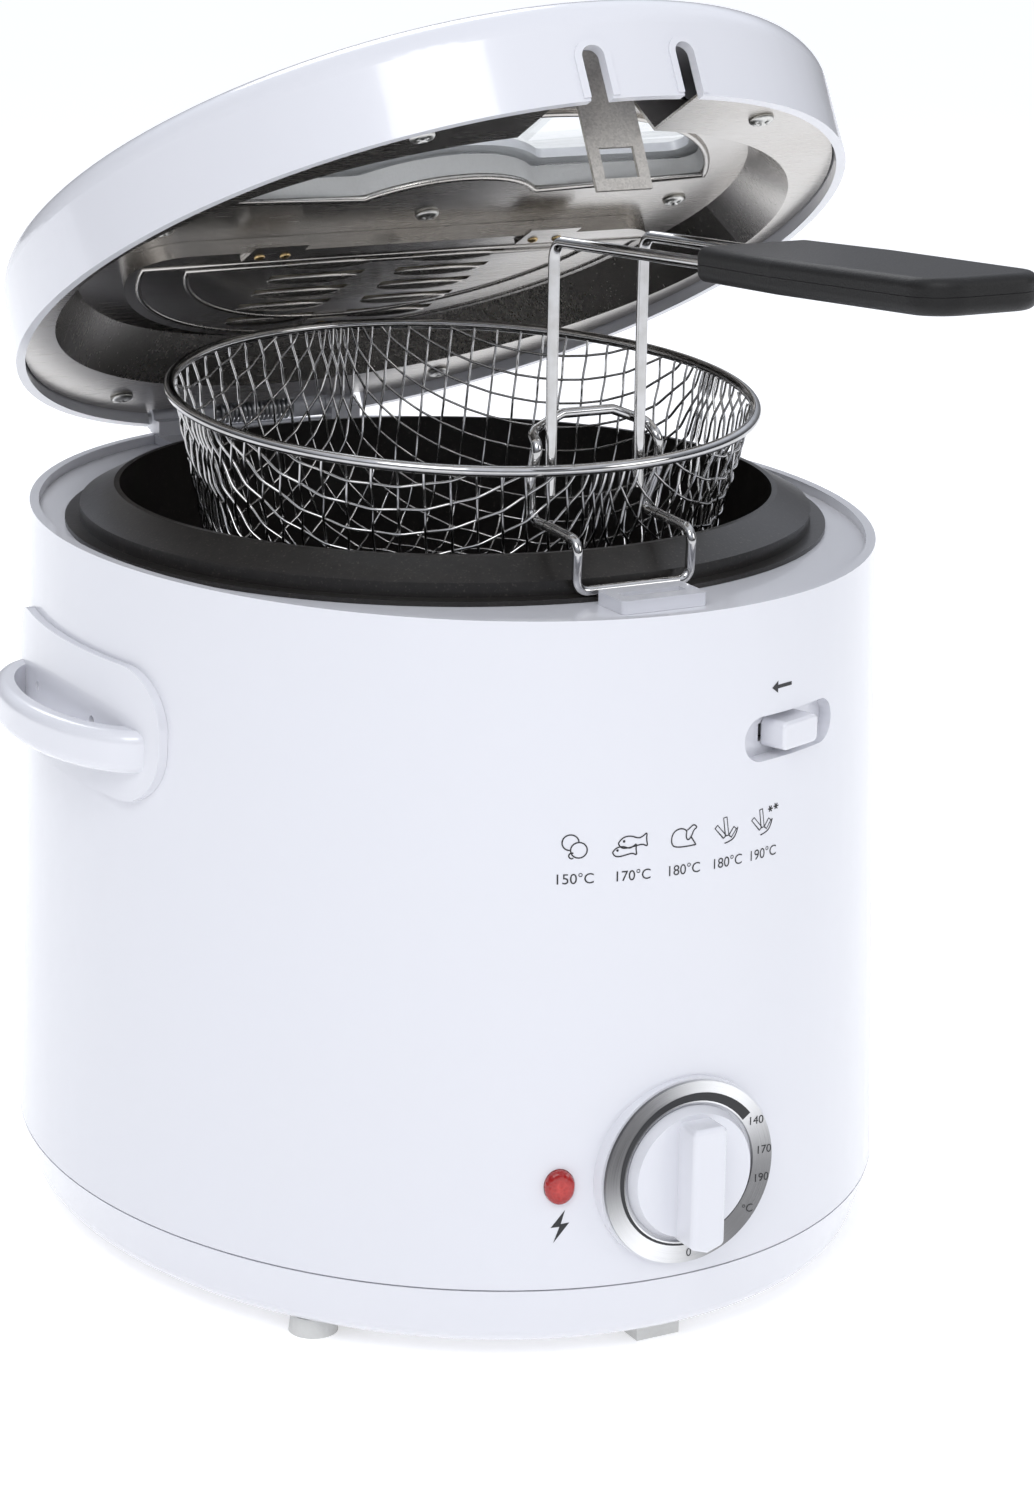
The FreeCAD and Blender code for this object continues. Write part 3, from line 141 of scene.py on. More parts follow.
# %% Lights
def soft_light(name, place, aim, width, power):
    data = bpy.data.lights.new(name, "AREA")
    data.shape = "DISK"
    data.size = width
    data.energy = power
    light = bpy.data.objects.new(name, data)
    bpy.context.scene.collection.objects.link(light)
    light.location = place
    light.rotation_euler = (Vector(place) - Vector(aim)).to_track_quat("Z", "Y").to_euler()
    return light


soft_light("key", (-0.9, -1.0, 1.4), (0, 0, 0.15), 0.9, 8.5)
soft_light("fill", (1.1, -1.2, 0.8), (0, 0, 0.15), 0.8, 4)
soft_light("back", (0.3, 1.4, 1.3), (0, 0, 0.15), 0.9, 5)

# %% [markdown]
# ## A small language for shaders
# A finish is a chain of nodes. Writing `0.4 + 0.1 * noise` is easier to read than wiring Math nodes
# by hand, so one class wraps a socket and turns arithmetic into nodes. Colours go through Mix nodes,
# because a Math node would turn them grey.

# %% Shader arithmetic
class Value:
    """A node's output that Python arithmetic works on."""

    def __init__(self, finish, socket):
        self.finish = finish
        self.socket = socket

    def math(self, operation, *others):
        return self.finish.node("ShaderNodeMath", {"operation": operation}, dict(enumerate(others)))

    def __add__(self, other):
        return self.math("ADD", self, other)

    def __sub__(self, other):
        return self.math("SUBTRACT", self, other)

    def __rsub__(self, other):
        return self.math("SUBTRACT", other, self)

    def __mul__(self, other):
        return self.math("MULTIPLY", self, other)

    def __pow__(self, other):
        return self.math("POWER", self, other)

    __radd__ = __add__
    __rmul__ = __mul__


class Finish:
    """A material whose Principled shader is fed by expressions."""

    def __init__(self, name, colour, rough, **constants):
        self.material = bpy.data.materials.new(name)
        self.material.use_nodes = True
        self.tree = self.material.node_tree
        self.shader = self.tree.nodes["Principled BSDF"]
        self.set("Base Color", (*colour, 1))
        self.set("Roughness", rough)
        for socket, number in constants.items():
            self.set(socket.replace("_", " "), number)

    def set(self, socket, value):
        self.connect(self.shader.inputs[socket], value)

    def connect(self, socket, value):
        if isinstance(value, Value):
            self.tree.links.new(value.socket, socket)
        else:
            socket.default_value = value

    def node(self, kind, settings=None, sockets=None, output=0):
        """Any node: its settings come first, then its sockets by name or number."""
        made = self.tree.nodes.new(kind)
        for name, setting in (settings or {}).items():
            if name == "stops":
                ramp = made.color_ramp
                for place, colour in setting[2:]:
                    ramp.elements.new(place)
                for element, (place, colour) in zip(ramp.elements, sorted(setting)):
                    element.position = place
                    element.color = colour
            else:
                setattr(made, name, setting)
        for name, value in (sockets or {}).items():
            self.connect(made.inputs[name], value)
        return Value(self, made.outputs[output])

    def place(self):
        """Object coordinates, in metres."""
        return self.node("ShaderNodeTexCoord", output="Object")

    def noise(self, scale, detail=3.0, vector=None, rough=0.5):
        sockets = {"Vector": vector or self.place(), "Scale": scale, "Detail": detail, "Roughness": rough}
        return self.node("ShaderNodeTexNoise", None, sockets)

    def blend(self, share, low, high):
        """A colour between two colours."""
        names = {0: share, 6: low, 7: high}
        return self.node("ShaderNodeMix", {"data_type": "RGBA"}, names, output=2)

    def bump(self, height, distance, strength=1.0):
        sockets = {"Height": height, "Distance": distance, "Strength": strength}
        self.set("Normal", self.node("ShaderNodeBump", None, sockets))


def rgb(red, green, blue):
    return (red, green, blue, 1.0)


# %% [markdown]
# ## Finishes
# The housing, lid and handles are moulded in the same glossy white plastic. A mould is polished but
# never perfect: the gloss varies slowly over a hand's width, and a faint ripple bends reflections.

# %% White plastic
def white_plastic(name, tone, rough, coat, ripple):
    finish = Finish(name, tone, rough, Coat_Weight=coat, Coat_Roughness=0.06, IOR=1.5)
    slow = finish.noise(14.0, 2.0)
    fine = finish.noise(900.0, 2.0)
    warm = tuple(v * f for v, f in zip(tone, (1.0, 0.995, 0.98)))
    finish.set("Base Color", finish.blend(slow, rgb(*tone), rgb(*warm)))
    finish.set("Roughness", rough - 0.05 + 0.07 * slow + 0.04 * fine)
    finish.bump(slow, 0.0004, ripple)
    return finish.material


shell_white = white_plastic("shell white", (0.77, 0.775, 0.82), 0.2, 0.5, 0.16)

# %% [markdown]
# The bowl's non-stick coat is sprayed on: a dark brown-grey film with a fine orange-peel grain and
# tiny paler flecks. Two noises of different size make the grain, and their peaks make the flecks.

# %% Non-stick coating
coating = Finish("non-stick coating", (0.03, 0.027, 0.025), 0.42, Specular_IOR_Level=0.45)
grain = coating.noise(1500.0, 3.0)
peel = coating.noise(420.0, 2.0)
flecks = coating.node("ShaderNodeMapRange", None, {0: grain, 1: 0.6, 2: 0.74})
dark = coating.blend(peel, rgb(0.011, 0.0102, 0.0097), rgb(0.024, 0.0215, 0.0195))
coating.set("Base Color", coating.blend(flecks * 0.4, dark, rgb(0.13, 0.115, 0.1)))
coating.set("Roughness", 0.28 + 0.07 * peel)
coating.bump(grain * 0.5 + peel * 0.4, 0.00012, 0.4)

# %% [markdown]
# Bright sheet steel is not a mirror: rolling leaves fine parallel lines, and oil films and heat leave
# cloudy warm patches. Stretching a noise along one axis gives the lines.

# %% Sheet steels
def sheet_steel(name, tone, rough, lines, cloud, tint):
    finish = Finish(name, tone, rough, Metallic=1.0)
    stretched = finish.node(
        "ShaderNodeVectorMath", {"operation": "MULTIPLY"}, {0: finish.place(), 1: (60.0, 2200.0, 900.0)}
    )
    roll = finish.noise(1.0, 2.0, stretched)
    patch = finish.noise(cloud, 3.0)
    finish.set("Base Color", finish.blend(patch, rgb(*tone), rgb(*tint)))
    finish.set("Roughness", rough - 0.06 + lines * roll + 0.1 * patch)
    finish.bump(roll, 0.00005, 0.12)
    return finish.material


pan_steel = sheet_steel("pressed lid steel", (0.62, 0.605, 0.585), 0.22, 0.1, 30.0, (0.5, 0.465, 0.42))
bare_sheet = sheet_steel("bare sheet", (0.7, 0.71, 0.72), 0.34, 0.14, 18.0, (0.58, 0.58, 0.57))
heater_steel = sheet_steel("heater sheath", (0.3, 0.27, 0.25), 0.45, 0.12, 40.0, (0.18, 0.15, 0.14))
drawn_steel = sheet_steel("drawn steel", (0.62, 0.62, 0.63), 0.26, 0.1, 60.0, (0.52, 0.52, 0.52))

# %% [markdown]
# Hot-dip zinc freezes into flat crystals. A Voronoi pattern gives each crystal its own grey and its
# own gloss, which is what makes the latch strip look grainy beside the steel of the pan.

# %% Zinc
zinc = Finish("zinc strip", (0.6, 0.6, 0.58), 0.4, Metallic=1.0)
crystal = zinc.node("ShaderNodeTexVoronoi", None, {"Vector": zinc.place(), "Scale": 2100.0}, output="Color")
shade = zinc.node("ShaderNodeSeparateColor", None, {0: crystal})
scratch = zinc.noise(2400.0, 2.0)
zinc.set("Base Color", zinc.blend(shade, rgb(0.5, 0.475, 0.435), rgb(0.66, 0.63, 0.585)))
zinc.set("Roughness", 0.3 + 0.22 * shade)
zinc.bump(shade * 0.6 + scratch, 0.00008, 0.4)

screw_zinc = Finish("screw zinc", (0.66, 0.66, 0.64), 0.3, Metallic=1.0)
dull = screw_zinc.noise(900.0, 2.0)
screw_zinc.set("Roughness", 0.22 + 0.2 * dull)
screw_zinc.set("Base Color", screw_zinc.blend(dull, rgb(0.7, 0.7, 0.68), rgb(0.55, 0.54, 0.5)))

# %% [markdown]
# The dial ring is brushed in circles. The pattern has to follow the ring, so the object's coordinates
# are turned into a radius and an angle round the knob's axis; noise that runs fast along the radius
# and slowly along the angle draws circles. Light caught in such grooves fans out from the axis; here
# that is painted into the base colour: a slow wave round the ring makes it bright in some directions
# and dark in others, a painted highlight and painted shade.

# %% Circular brushing and painted sheen
dial_low, dial_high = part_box("dial_ring")
dial_axis = (dial_low + dial_high) / 2
ring_steel = Finish("circular brushed steel", (0.74, 0.74, 0.74), 0.27, Metallic=1.0)
parts = ring_steel.node("ShaderNodeSeparateXYZ", None, {0: ring_steel.place()})
side = Value(ring_steel, parts.socket.node.outputs["X"]) - dial_axis.x
rise = Value(ring_steel, parts.socket.node.outputs["Z"]) - dial_axis.z
reach = (side * side + rise * rise) ** 0.5
angle = side.math("ARCTAN2", side, rise)
circle = ring_steel.node("ShaderNodeCombineXYZ", None, {0: reach * 9000.0, 1: angle * 1.2, 2: 0.0})
brush = ring_steel.noise(1.0, 3.0, circle)
# Painted highlight and painted shade: two slow waves round the axis paint the ring bright in some directions
# and dark in others; the brush noise mixed into sheen is real grain.
painted_highlight_fan = (angle * 2.0 - 1.1).math("COSINE", angle * 2.0 - 1.1) * 0.5 + 0.5
painted_highlight_lobes = (angle * 3.0 + 0.4).math("COSINE", angle * 3.0 + 0.4) * 0.5 + 0.5
sheen = painted_highlight_fan ** 1.7 * 0.8 + painted_highlight_lobes * 0.08 + brush * 0.22
# The base colour runs from near black to near white with this painted sheen.
ring_steel.set("Base Color", ring_steel.blend(sheen, rgb(0.045, 0.043, 0.045), rgb(0.9, 0.9, 0.9)))
ring_steel.set("Roughness", 0.2 + 0.22 * brush)
ring_steel.bump(brush, 0.00006, 0.5)

# %% [markdown]
# Plated wire is nearly a mirror. Only a slow change of gloss and a trace of warm film keep it from
# looking like a computer's idea of chrome.

# %% Chrome wire
chrome = Finish("chrome wire", (0.56, 0.56, 0.57), 0.1, Metallic=1.0)
film = chrome.noise(260.0, 3.0)
chrome.set("Base Color", chrome.blend(film, rgb(0.64, 0.64, 0.65), rgb(0.42, 0.41, 0.39)))
chrome.set("Roughness", 0.04 + 0.1 * film)

# %% [markdown]
# The grip, the inner mouldings, rubber and felt are matt. A fine eroded grain breaks up the highlight
# so that each looks like its own material and not like grey paint.

# %% Matt finishes
def matt(name, tone, pale, rough, scale, height, sheen=0.0):
    finish = Finish(name, tone, rough, Sheen_Weight=sheen, Specular_IOR_Level=0.35)
    fine = finish.noise(scale, 3.0)
    slow = finish.noise(scale / 30.0, 2.0)
    finish.set("Base Color", finish.blend(fine * 0.5 + slow * 0.5, rgb(*tone), rgb(*pale)))
    finish.set("Roughness", rough - 0.08 + 0.16 * fine)
    finish.bump(fine, height, 0.7)
    return finish.material


grip_black = matt("grip black", (0.005, 0.0048, 0.0046), (0.011, 0.0103, 0.0098), 0.5, 2200.0, 0.00012)
inner_black = matt("inner moulding", (0.02, 0.02, 0.02), (0.05, 0.05, 0.05), 0.5, 1200.0, 0.0001)
foot_rubber = matt("foot rubber", (0.62, 0.62, 0.6), (0.74, 0.74, 0.72), 0.62, 900.0, 0.0002)
cord_rubber = matt("cord rubber", (0.74, 0.74, 0.73), (0.82, 0.82, 0.8), 0.5, 900.0, 0.00015)
seal_grey = matt("window seal", (0.6, 0.6, 0.59), (0.7, 0.7, 0.69), 0.6, 1000.0, 0.00015)
felt = matt("filter felt", (0.55, 0.5, 0.4), (0.75, 0.71, 0.6), 0.9, 700.0, 0.0006, sheen=0.4)

brass = Finish("rivet brass", (0.72, 0.5, 0.22), 0.25, Metallic=1.0)
tarnish = brass.noise(1500.0, 2.0)
brass.set("Base Color", brass.blend(tarnish, rgb(0.8, 0.6, 0.3), rgb(0.5, 0.34, 0.16)))
brass.set("Roughness", 0.18 + 0.25 * tarnish)

# %% [markdown]
# The window is thin clear glass, and the lamp is a clear red lens over a neon tube: its face has fine
# prism ribs that scatter the light, with a paler core where the tube shines through.

# %% Glass and lens
glass = Finish("window glass", (0.97, 0.985, 0.98), 0.03, Transmission_Weight=1.0, IOR=1.3)
haze = glass.noise(40.0, 3.0)
glass.set("Roughness", 0.005 + 0.02 * haze)

lamp_low, lamp_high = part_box("lamp_lens")
lamp_centre = (lamp_low + lamp_high) / 2
lens_red = Finish("lamp red", (0.62, 0.02, 0.015), 0.12, Coat_Weight=0.6, Coat_Roughness=0.05)
spread = lens_red.node(
    "ShaderNodeVectorMath", {"operation": "DISTANCE"}, {0: lens_red.place(), 1: tuple(lamp_centre)}, output=1
)
core = lens_red.node("ShaderNodeMapRange", None, {0: spread, 1: 0.0046, 2: 0.0012})
cells = lens_red.node("ShaderNodeTexVoronoi", None, {"Vector": lens_red.place(), "Scale": 1100.0})
glow = core * (0.35 + 0.9 * cells)
lens_red.set("Base Color", lens_red.blend(glow, rgb(0.3, 0.0, 0.0), rgb(0.8, 0.05, 0.04)))
lens_red.set("Emission Color", lens_red.blend(core * cells, rgb(0.2, 0.0, 0.0), rgb(1.0, 0.2, 0.12)))
lens_red.set("Emission Strength", 0.15)
lens_red.bump(cells, 0.0004, 0.5)

# %% [markdown]
# ## Finishes on the frame's nodes
# Each node of the frame whose shape is already right keeps its mesh and gets its finish here.

# %% Assign finishes
NODE_FINISH = {
    shell_white: ["outer_shell", "base_cover", "latch_receptacle", "side_handle_right", "side_handle_left",
                  "hinge_bracket", "lid_shell", "lid_hinge_arm", "knob", "release_slider"],
    coating.material: ["inner_bowl"],
    bare_sheet: ["heat_shield", "element_clamp"],
    heater_steel: ["heating_element"],
    drawn_steel: ["thermostat_shaft", "hinge_pin", "hinge_spring"],
    screw_zinc.material: ["base_screws", "clamp_stud", "handle_screws", "lid_screws", "latch_screw"],
    foot_rubber: ["rubber_feet", "front_foot"],
    cord_rubber: ["cord_gland"],
    inner_black: ["thermostat", "thermal_cutout", "terminal_block", "lamp_holder", "release_link",
                  "latch_catch"],
    ring_steel.material: ["dial_ring"],
    lens_red.material: ["lamp_lens"],
    pan_steel: ["lid_pan", "filter_cover", "filter_tabs"],
    zinc.material: ["latch_strip"],
    glass.material: ["window_glass"],
    seal_grey: ["window_gasket"],
    felt: ["filter_pad"],
    brass.material: ["filter_rivets"],
    chrome.material: ["basket_mesh", "basket_rim", "basket_bracket", "drain_hook", "handle_wire_left",
                      "handle_wire_right"],
    grip_black: ["grip_lower", "grip_upper"],
}
for finish, names in NODE_FINISH.items():
    for name in names:
        mesh = frame["nodes"][name].data
        mesh.materials.clear()
        mesh.materials.append(finish)
unfinished = set(frame["nodes"]) - {name for names in NODE_FINISH.values() for name in names}
print("nodes without a finish:", sorted(unfinished))

# %% [markdown]
# ## Helpers for new pieces
# Each new piece is a mesh whose place is in its own points, so that its object stays at the origin.
# Wires start as curves with a round section and are turned into meshes, because a mesh can be moved
# and bent point by point.

# %% Helpers
def add_piece(name, mesh, material, body, hides=()):
    """Put a mesh into the scene as a piece that rides on a body of the frame."""
    mesh.name = name
    mesh.materials.clear()
    mesh.materials.append(material)
    piece = bpy.data.objects.new(name, mesh)
    bpy.context.scene.collection.objects.link(piece)
    for polygon in mesh.polygons:
        polygon.use_smooth = True
    if hides:
        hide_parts(*hides)
    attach(piece, body)
    print(name, len(mesh.polygons), "faces")
    return piece


def mesh_of(data, name="part"):
    """The mesh that a curve or text comes to."""
    maker = bpy.data.objects.new(name, data)
    bpy.context.scene.collection.objects.link(maker)
    bpy.context.view_layer.update()
    mesh = bpy.data.meshes.new_from_object(maker.evaluated_get(bpy.context.evaluated_depsgraph_get()))
    bpy.data.objects.remove(maker)
    return mesh


def wires(runs, radius, closed=False, soft=False, sides=1):
    """Round wires along lists of points."""
    data = bpy.data.curves.new("wires", "CURVE")
    data.dimensions = "3D"
    data.bevel_depth = radius
    data.bevel_resolution = sides
    data.use_fill_caps = True
    for points in runs:
        spline = data.splines.new("NURBS" if soft else "POLY")
        spline.points.add(len(points) - 1)
        for target_point, point in zip(spline.points, points):
            target_point.co = (*point, 1.0)
        if soft:
            spline.order_u = 3
            spline.use_endpoint_u = not closed
            spline.resolution_u = 6
        spline.use_cyclic_u = closed
    return mesh_of(data)


def mesh_from(work, name="part"):
    """A mesh from a bmesh, which is freed."""
    mesh = bpy.data.meshes.new(name)
    work.to_mesh(mesh)
    work.free()
    return mesh


# %% [markdown]
# ## Woven basket
# The cup is one square of crimped wire cloth, pressed over a round form. Cloth like that cannot
# stretch, it can only shear: below the four compass points of its wires the holes stay square, and
# between them they are squeezed into tall narrow diamonds, crowded together. A texture cannot show
# that, so the cloth is draped by rule. Each knot lies on the cup at one pitch from its two neighbours,
# which is how a real wire net settles.

# %% The form that the cloth is pressed over
# Heights here are measured from the middle of the rim, before the basket leans.
PITCH = 0.0065
WIRE = 0.00036
rim_low, rim_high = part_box("basket_rim")
RIM_RADIUS = (rim_high.x - rim_low.x) / 2 - 0.0014
RIM_CENTRE = (rim_low + rim_high) / 2
LEAN = math.radians(4.1)
FORM_TOP = RIM_RADIUS - 0.0012
FORM_FLOOR = 0.0634
CORNER = 0.012
DEEP = 0.0575
RIM_UNDER = -0.0006


def on_cup(point):
    """The nearest place on the cup's middle surface to a point, and the outward direction there."""
    reach = math.hypot(point.x, point.y)
    wall_up = DEEP - CORNER
    slope = (FORM_TOP - FORM_FLOOR) / wall_up
    across = Vector((1, -slope)).normalized()
    off = Vector((reach - FORM_FLOOR, point.z + wall_up)).dot(across)
    wall = Vector((reach, point.z)) - off * across
    if wall.y > -wall_up:
        flat, out = wall, across
    elif reach < FORM_FLOOR - CORNER:
        flat, out = Vector((reach, -DEEP)), Vector((0, -1))
    else:
        hub = Vector((FORM_FLOOR - CORNER, -wall_up))
        out = (Vector((reach, point.z)) - hub).normalized()
        flat = hub + CORNER * out
    turn = Vector((point.x, point.y)) / max(reach, 1e-9)
    place = Vector((turn.x * flat.x, turn.y * flat.x, flat.y))
    return place, Vector((turn.x * out.x, turn.y * out.x, out.y))


def next_knot(behind, left, right):
    """The knot one pitch from both neighbours, on the far side from the knot behind."""
    knot, normal = on_cup(left + right - behind)
    for step in range(30):
        rows = Matrix((knot - left, knot - right, normal))
        if abs(rows.determinant()) < 1e-9:
            break
        lacks = Vector(((PITCH**2 - (knot - left).length_squared) / 2,
                        (PITCH**2 - (knot - right).length_squared) / 2, 0.0))
        move = rows.inverted() @ lacks
        if move.length > PITCH / 2:
            move *= PITCH / 2 / move.length
        knot, normal = on_cup(knot + move)
        if move.length < 1e-7:
            break
    return knot


# %% Drape one quarter of the cloth
LAST = 27
CEILING = 2.2 * PITCH
quarter = {(0, 0): Vector((0, 0, -DEEP))}
for i in range(1, LAST):
    guess = quarter[i - 1, 0]
    ahead = guess + Vector((0.1, 0, 0)) if guess.x < FORM_FLOOR - CORNER else guess + Vector((0.02, 0, 0.1))
    for step in range(12):
        knot, normal = on_cup(guess + (ahead - guess).normalized() * PITCH)
        ahead = guess + (knot - guess) * 2
    quarter[i, 0] = knot
    quarter[0, i] = Vector((0, knot.x, knot.z))
for i in range(1, LAST):
    for j in range(1, LAST):
        trio = [quarter.get(key) for key in ((i - 1, j - 1), (i - 1, j), (i, j - 1))]
        if None in trio or min(trio[1].z, trio[2].z) > CEILING:
            continue
        quarter[i, j] = next_knot(*trio)
print("knots in one quarter:", len(quarter))


# %% Whole cloth: each quarter is the first one turned
def knot_at(i, j):
    turns = 0
    while not (i >= 0 and j >= 0 and (i > 0 or j == 0 or turns == 0)) and turns < 4:
        i, j = j, -i
        turns += 1
    place = quarter.get((i, j))
    return None if place is None else Matrix.Rotation(math.radians(90 * turns), 3, "Z") @ place


def strand(places, lift):
    """Points along one wire, crimped over and under its crossings, ending inside the rim."""
    points = []
    for k, (here, there) in enumerate(zip(places, places[1:])):
        for part in (0.0, 0.22, 0.5, 0.78):
            flat, out = on_cup(here.lerp(there, part))
            points.append(flat + out * (lift * WIRE * 1.05 * (-1) ** k * math.cos(math.pi * part)))
    best, run = [], []
    for before, here in zip(points[:1] + points, points):
        if here.z < RIM_UNDER:
            if not run and before.z > RIM_UNDER:
                run.append(before.lerp(here, (before.z - RIM_UNDER) / (before.z - here.z)))
            run.append(here)
        elif run:
            run.append(before.lerp(here, (RIM_UNDER - before.z) / (here.z - before.z)))
            best = max(best, run, key=len)
            run = []
    return max(best, run, key=len)


strands = []
for line in range(-LAST, LAST + 1):
    for along in (True, False):
        run = [knot_at(k, line) if along else knot_at(line, k) for k in range(-LAST, LAST + 1)]
        first = next((k for k, p in enumerate(run) if p is not None), None)
        if first is None:
            continue
        kept = []
        for k in range(first, len(run)):
            if run[k] is None:
                break
            kept.append(run[k])
        sign = (-1) ** (first + line) * (1 if along else -1)
        strands.append(strand(kept, sign))
strands = [points for points in strands if len(points) > 3]
print("wires in the cloth:", len(strands))

# %% Turn the wires into a mesh and lean it with the basket
cloth = wires(strands, WIRE)
cloth.transform(
    Matrix.Translation(RIM_CENTRE) @ Matrix.Rotation(LEAN, 4, "X") @ Matrix.Rotation(math.radians(45), 4, "Z")
)
add_piece("woven_cup", cloth, chrome.material, "basket", ["basket_mesh"])

# %% [markdown]
# ## Print on the housing
# The print is a film of black ink. It is made flat, as text and thin strokes, and each of its points is
# then dropped straight back onto the curved shell, so it bends with the plastic and stays a hair above it.

# %% Ink and a way to lay a mark on the shell
ink = Finish("black ink", (0.02, 0.02, 0.022), 0.45)
ink.set("Roughness", 0.38 + 0.16 * ink.noise(1800.0, 2.0))
shell_form = frame["nodes"]["outer_shell"]
INK_LIFT = 0.00007
STROKE_FLATNESS = 0.25


def lay_on_shell(mesh, x, z):
    """Drop a flat mesh, drawn round its own origin, onto the front of the shell at (x, z)."""
    for vertex in mesh.vertices:
        start = Vector((x + vertex.co.x, -0.3, z + vertex.co.y))
        place = shell_form.ray_cast(start, Vector((0, 1, 0)))[1]
        vertex.co = place - Vector((0, INK_LIFT + STROKE_FLATNESS * vertex.co.z, 0))
    return mesh


def lettering(text, height):
    """Flat text, centred, its capitals that high."""
    data = bpy.data.curves.new("text", "FONT")
    data.body = text
    data.size = height / 0.7
    data.align_x = "CENTER"
    data.align_y = "CENTER"
    return mesh_of(data)


def joined(meshes, name):
    work = bmesh.new()
    for mesh in meshes:
        work.from_mesh(mesh)
    return mesh_from(work, name)


def arc(x, y, radius, start, end, steps=20):
    """Points on an arc in the drawing plane, in millimetres and degrees."""
    turns = [math.radians(start + (end - start) * k / steps) for k in range(steps + 1)]
    return [Vector((x + radius * math.cos(t), y + radius * math.sin(t), 0)) * MM for t in turns]


def drawn(*points):
    """Points of a drawing, in millimetres."""
    return [Vector((x, y, 0)) * MM for x, y in points]


# %% [markdown]
# Five small drawings say what each temperature is for: nuggets, fish, poultry, chips and frozen chips.
# They are drawn here as plain strokes in a square of about six millimetres.

# %% Food drawings
STROKE = 0.00016
nuggets = wires(
    [arc(1.0, -0.9, 1.9, 0, 360), arc(-0.9, 1.0, 1.9, 5, 265), arc(-0.6, -2.2, 0.7, 60, 300, 8)], STROKE
)
fish_back = drawn((-3.6, 0.2), (-2.9, 1.5), (-0.6, 1.9), (1.4, 1.0), (2.6, 1.6), (3.5, 2.4), (3.3, 0.6),
                  (3.7, -1.2), (2.4, -0.4), (0.8, -0.7), (-1.6, -1.2), (-3.2, -0.9), (-3.6, 0.2))
fish_front = [p * 0.82 + Vector((-2.0, -2.1, 0)) * MM for p in fish_back]
fish = joined([
    wires([fish_back, fish_front], STROKE, soft=True),
    wires([arc(-2.2, 0.6, 0.18, 0, 360, 8), arc(-3.8, -1.5, 0.16, 0, 360, 8)], STROKE),
], "fish")
bird = drawn((3.2, -2.2), (-2.4, -2.6), (-3.6, -0.8), (-3.0, 1.6), (-1.0, 2.4), (0.8, 1.6), (0.4, 0.2),
             (1.0, -1.0), (2.0, 0.0), (2.6, 1.6), (3.6, 2.0), (2.6, 2.9), (1.6, 2.2), (0.8, 1.6))
poultry = wires([bird, drawn((1.9, -0.2), (2.6, -1.2), (3.2, -2.2))], STROKE, soft=True)


def chip(x, y, length, angle):
    """The outline of one chip."""
    turn = Matrix.Rotation(math.radians(angle), 3, "Z")
    corners = drawn((-0.5, 0), (0.5, 0), (0.5, length), (-0.5, length), (-0.5, 0))
    return [turn @ p + Vector((x, y, 0)) * MM for p in corners]


def chips():
    dish = drawn((-0.9, -3.2), (1.2, -2.9), (2.6, -1.4), (3.0, 0.2))
    sticks = [chip(-0.2, -1.4, 4.6, 8), chip(-0.9, -1.6, 3.8, 42), chip(0.7, -1.7, 2.4, -38)]
    return joined([wires(sticks, STROKE), wires([dish], STROKE, soft=True)], "chips")


def star(x, y, size):
    strokes = []
    for angle in (0, 60, 120):
        turn = Matrix.Rotation(math.radians(angle), 3, "Z")
        strokes.append([turn @ p + Vector((x, y, 0)) * MM for p in drawn((-size, 0), (size, 0))])
    return strokes


frozen = joined([chips(), wires(star(2.3, 2.7, 0.8) + star(4.2, 3.0, 0.8), STROKE)], "frozen")

# %% Lay the drawings and their temperatures on the shell
marks = []
COLUMNS = [(-29.0, nuggets, "150\u00b0C"), (-15.2, fish, "170\u00b0C"), (-2.0, poultry, "180\u00b0C"),
           (10.4, chips(), "180\u00b0C"), (21.6, frozen, "190\u00b0C")]
for x, drawing, temperature in COLUMNS:
    marks.append(lay_on_shell(drawing, x * MM, 0.1325))
    marks.append(lay_on_shell(lettering(temperature, 0.0025), x * MM, 0.1245))

# %% [markdown]
# Over the lid release stands an arrow that shows the way it slides, and under the lamp a small flash.
# Both are filled outlines, so each is one face cut into triangles.

# %% Arrow and flash
def filled(points):
    work = bmesh.new()
    corners = [work.verts.new(p) for p in drawn(*points)]
    work.faces.new(corners)
    bmesh.ops.triangulate(work, faces=work.faces)
    bmesh.ops.recalc_face_normals(work, faces=work.faces)
    if work.faces[0].normal.z < 0:
        bmesh.ops.reverse_faces(work, faces=work.faces)
    return mesh_from(work)


arrow = filled([
    (-3.4, 0.0), (-1.4, 1.5), (-1.4, 0.45), (3.4, 0.45), (3.4, -0.45), (-1.4, -0.45), (-1.4, -1.5),
])
flash = filled([(1.1, 4.2), (-2.2, -0.3), (-0.2, -0.1), (-1.6, -4.2), (2.1, 0.9), (0.1, 0.6)])
slider_low, slider_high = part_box("release_slider")
marks.append(lay_on_shell(arrow, (slider_low.x + slider_high.x) / 2 - 0.004, slider_high.z + 0.0085))
marks.append(lay_on_shell(flash, lamp_centre.x - 0.0003, lamp_centre.z - 0.0102))
add_piece("shell_print", joined(marks, "shell_print"), ink.material, "housing")

# %% [markdown]
# ## Scale of the dial
# The steel ring round the knob carries numbers and a black band that widens clockwise, so the cook sees
# at a glance which way is hotter. The band is one edge swept round the axis; its outer end moves out a
# little at every step.

# %% Dial scale
RING_BORE = 0.0179
ring_face = dial_low.y


def dial_point(degrees, reach):
    """A place on the ring: degrees clockwise from the top."""
    turn = math.radians(degrees)
    return Vector((reach * math.sin(turn), reach * math.cos(turn), 0))


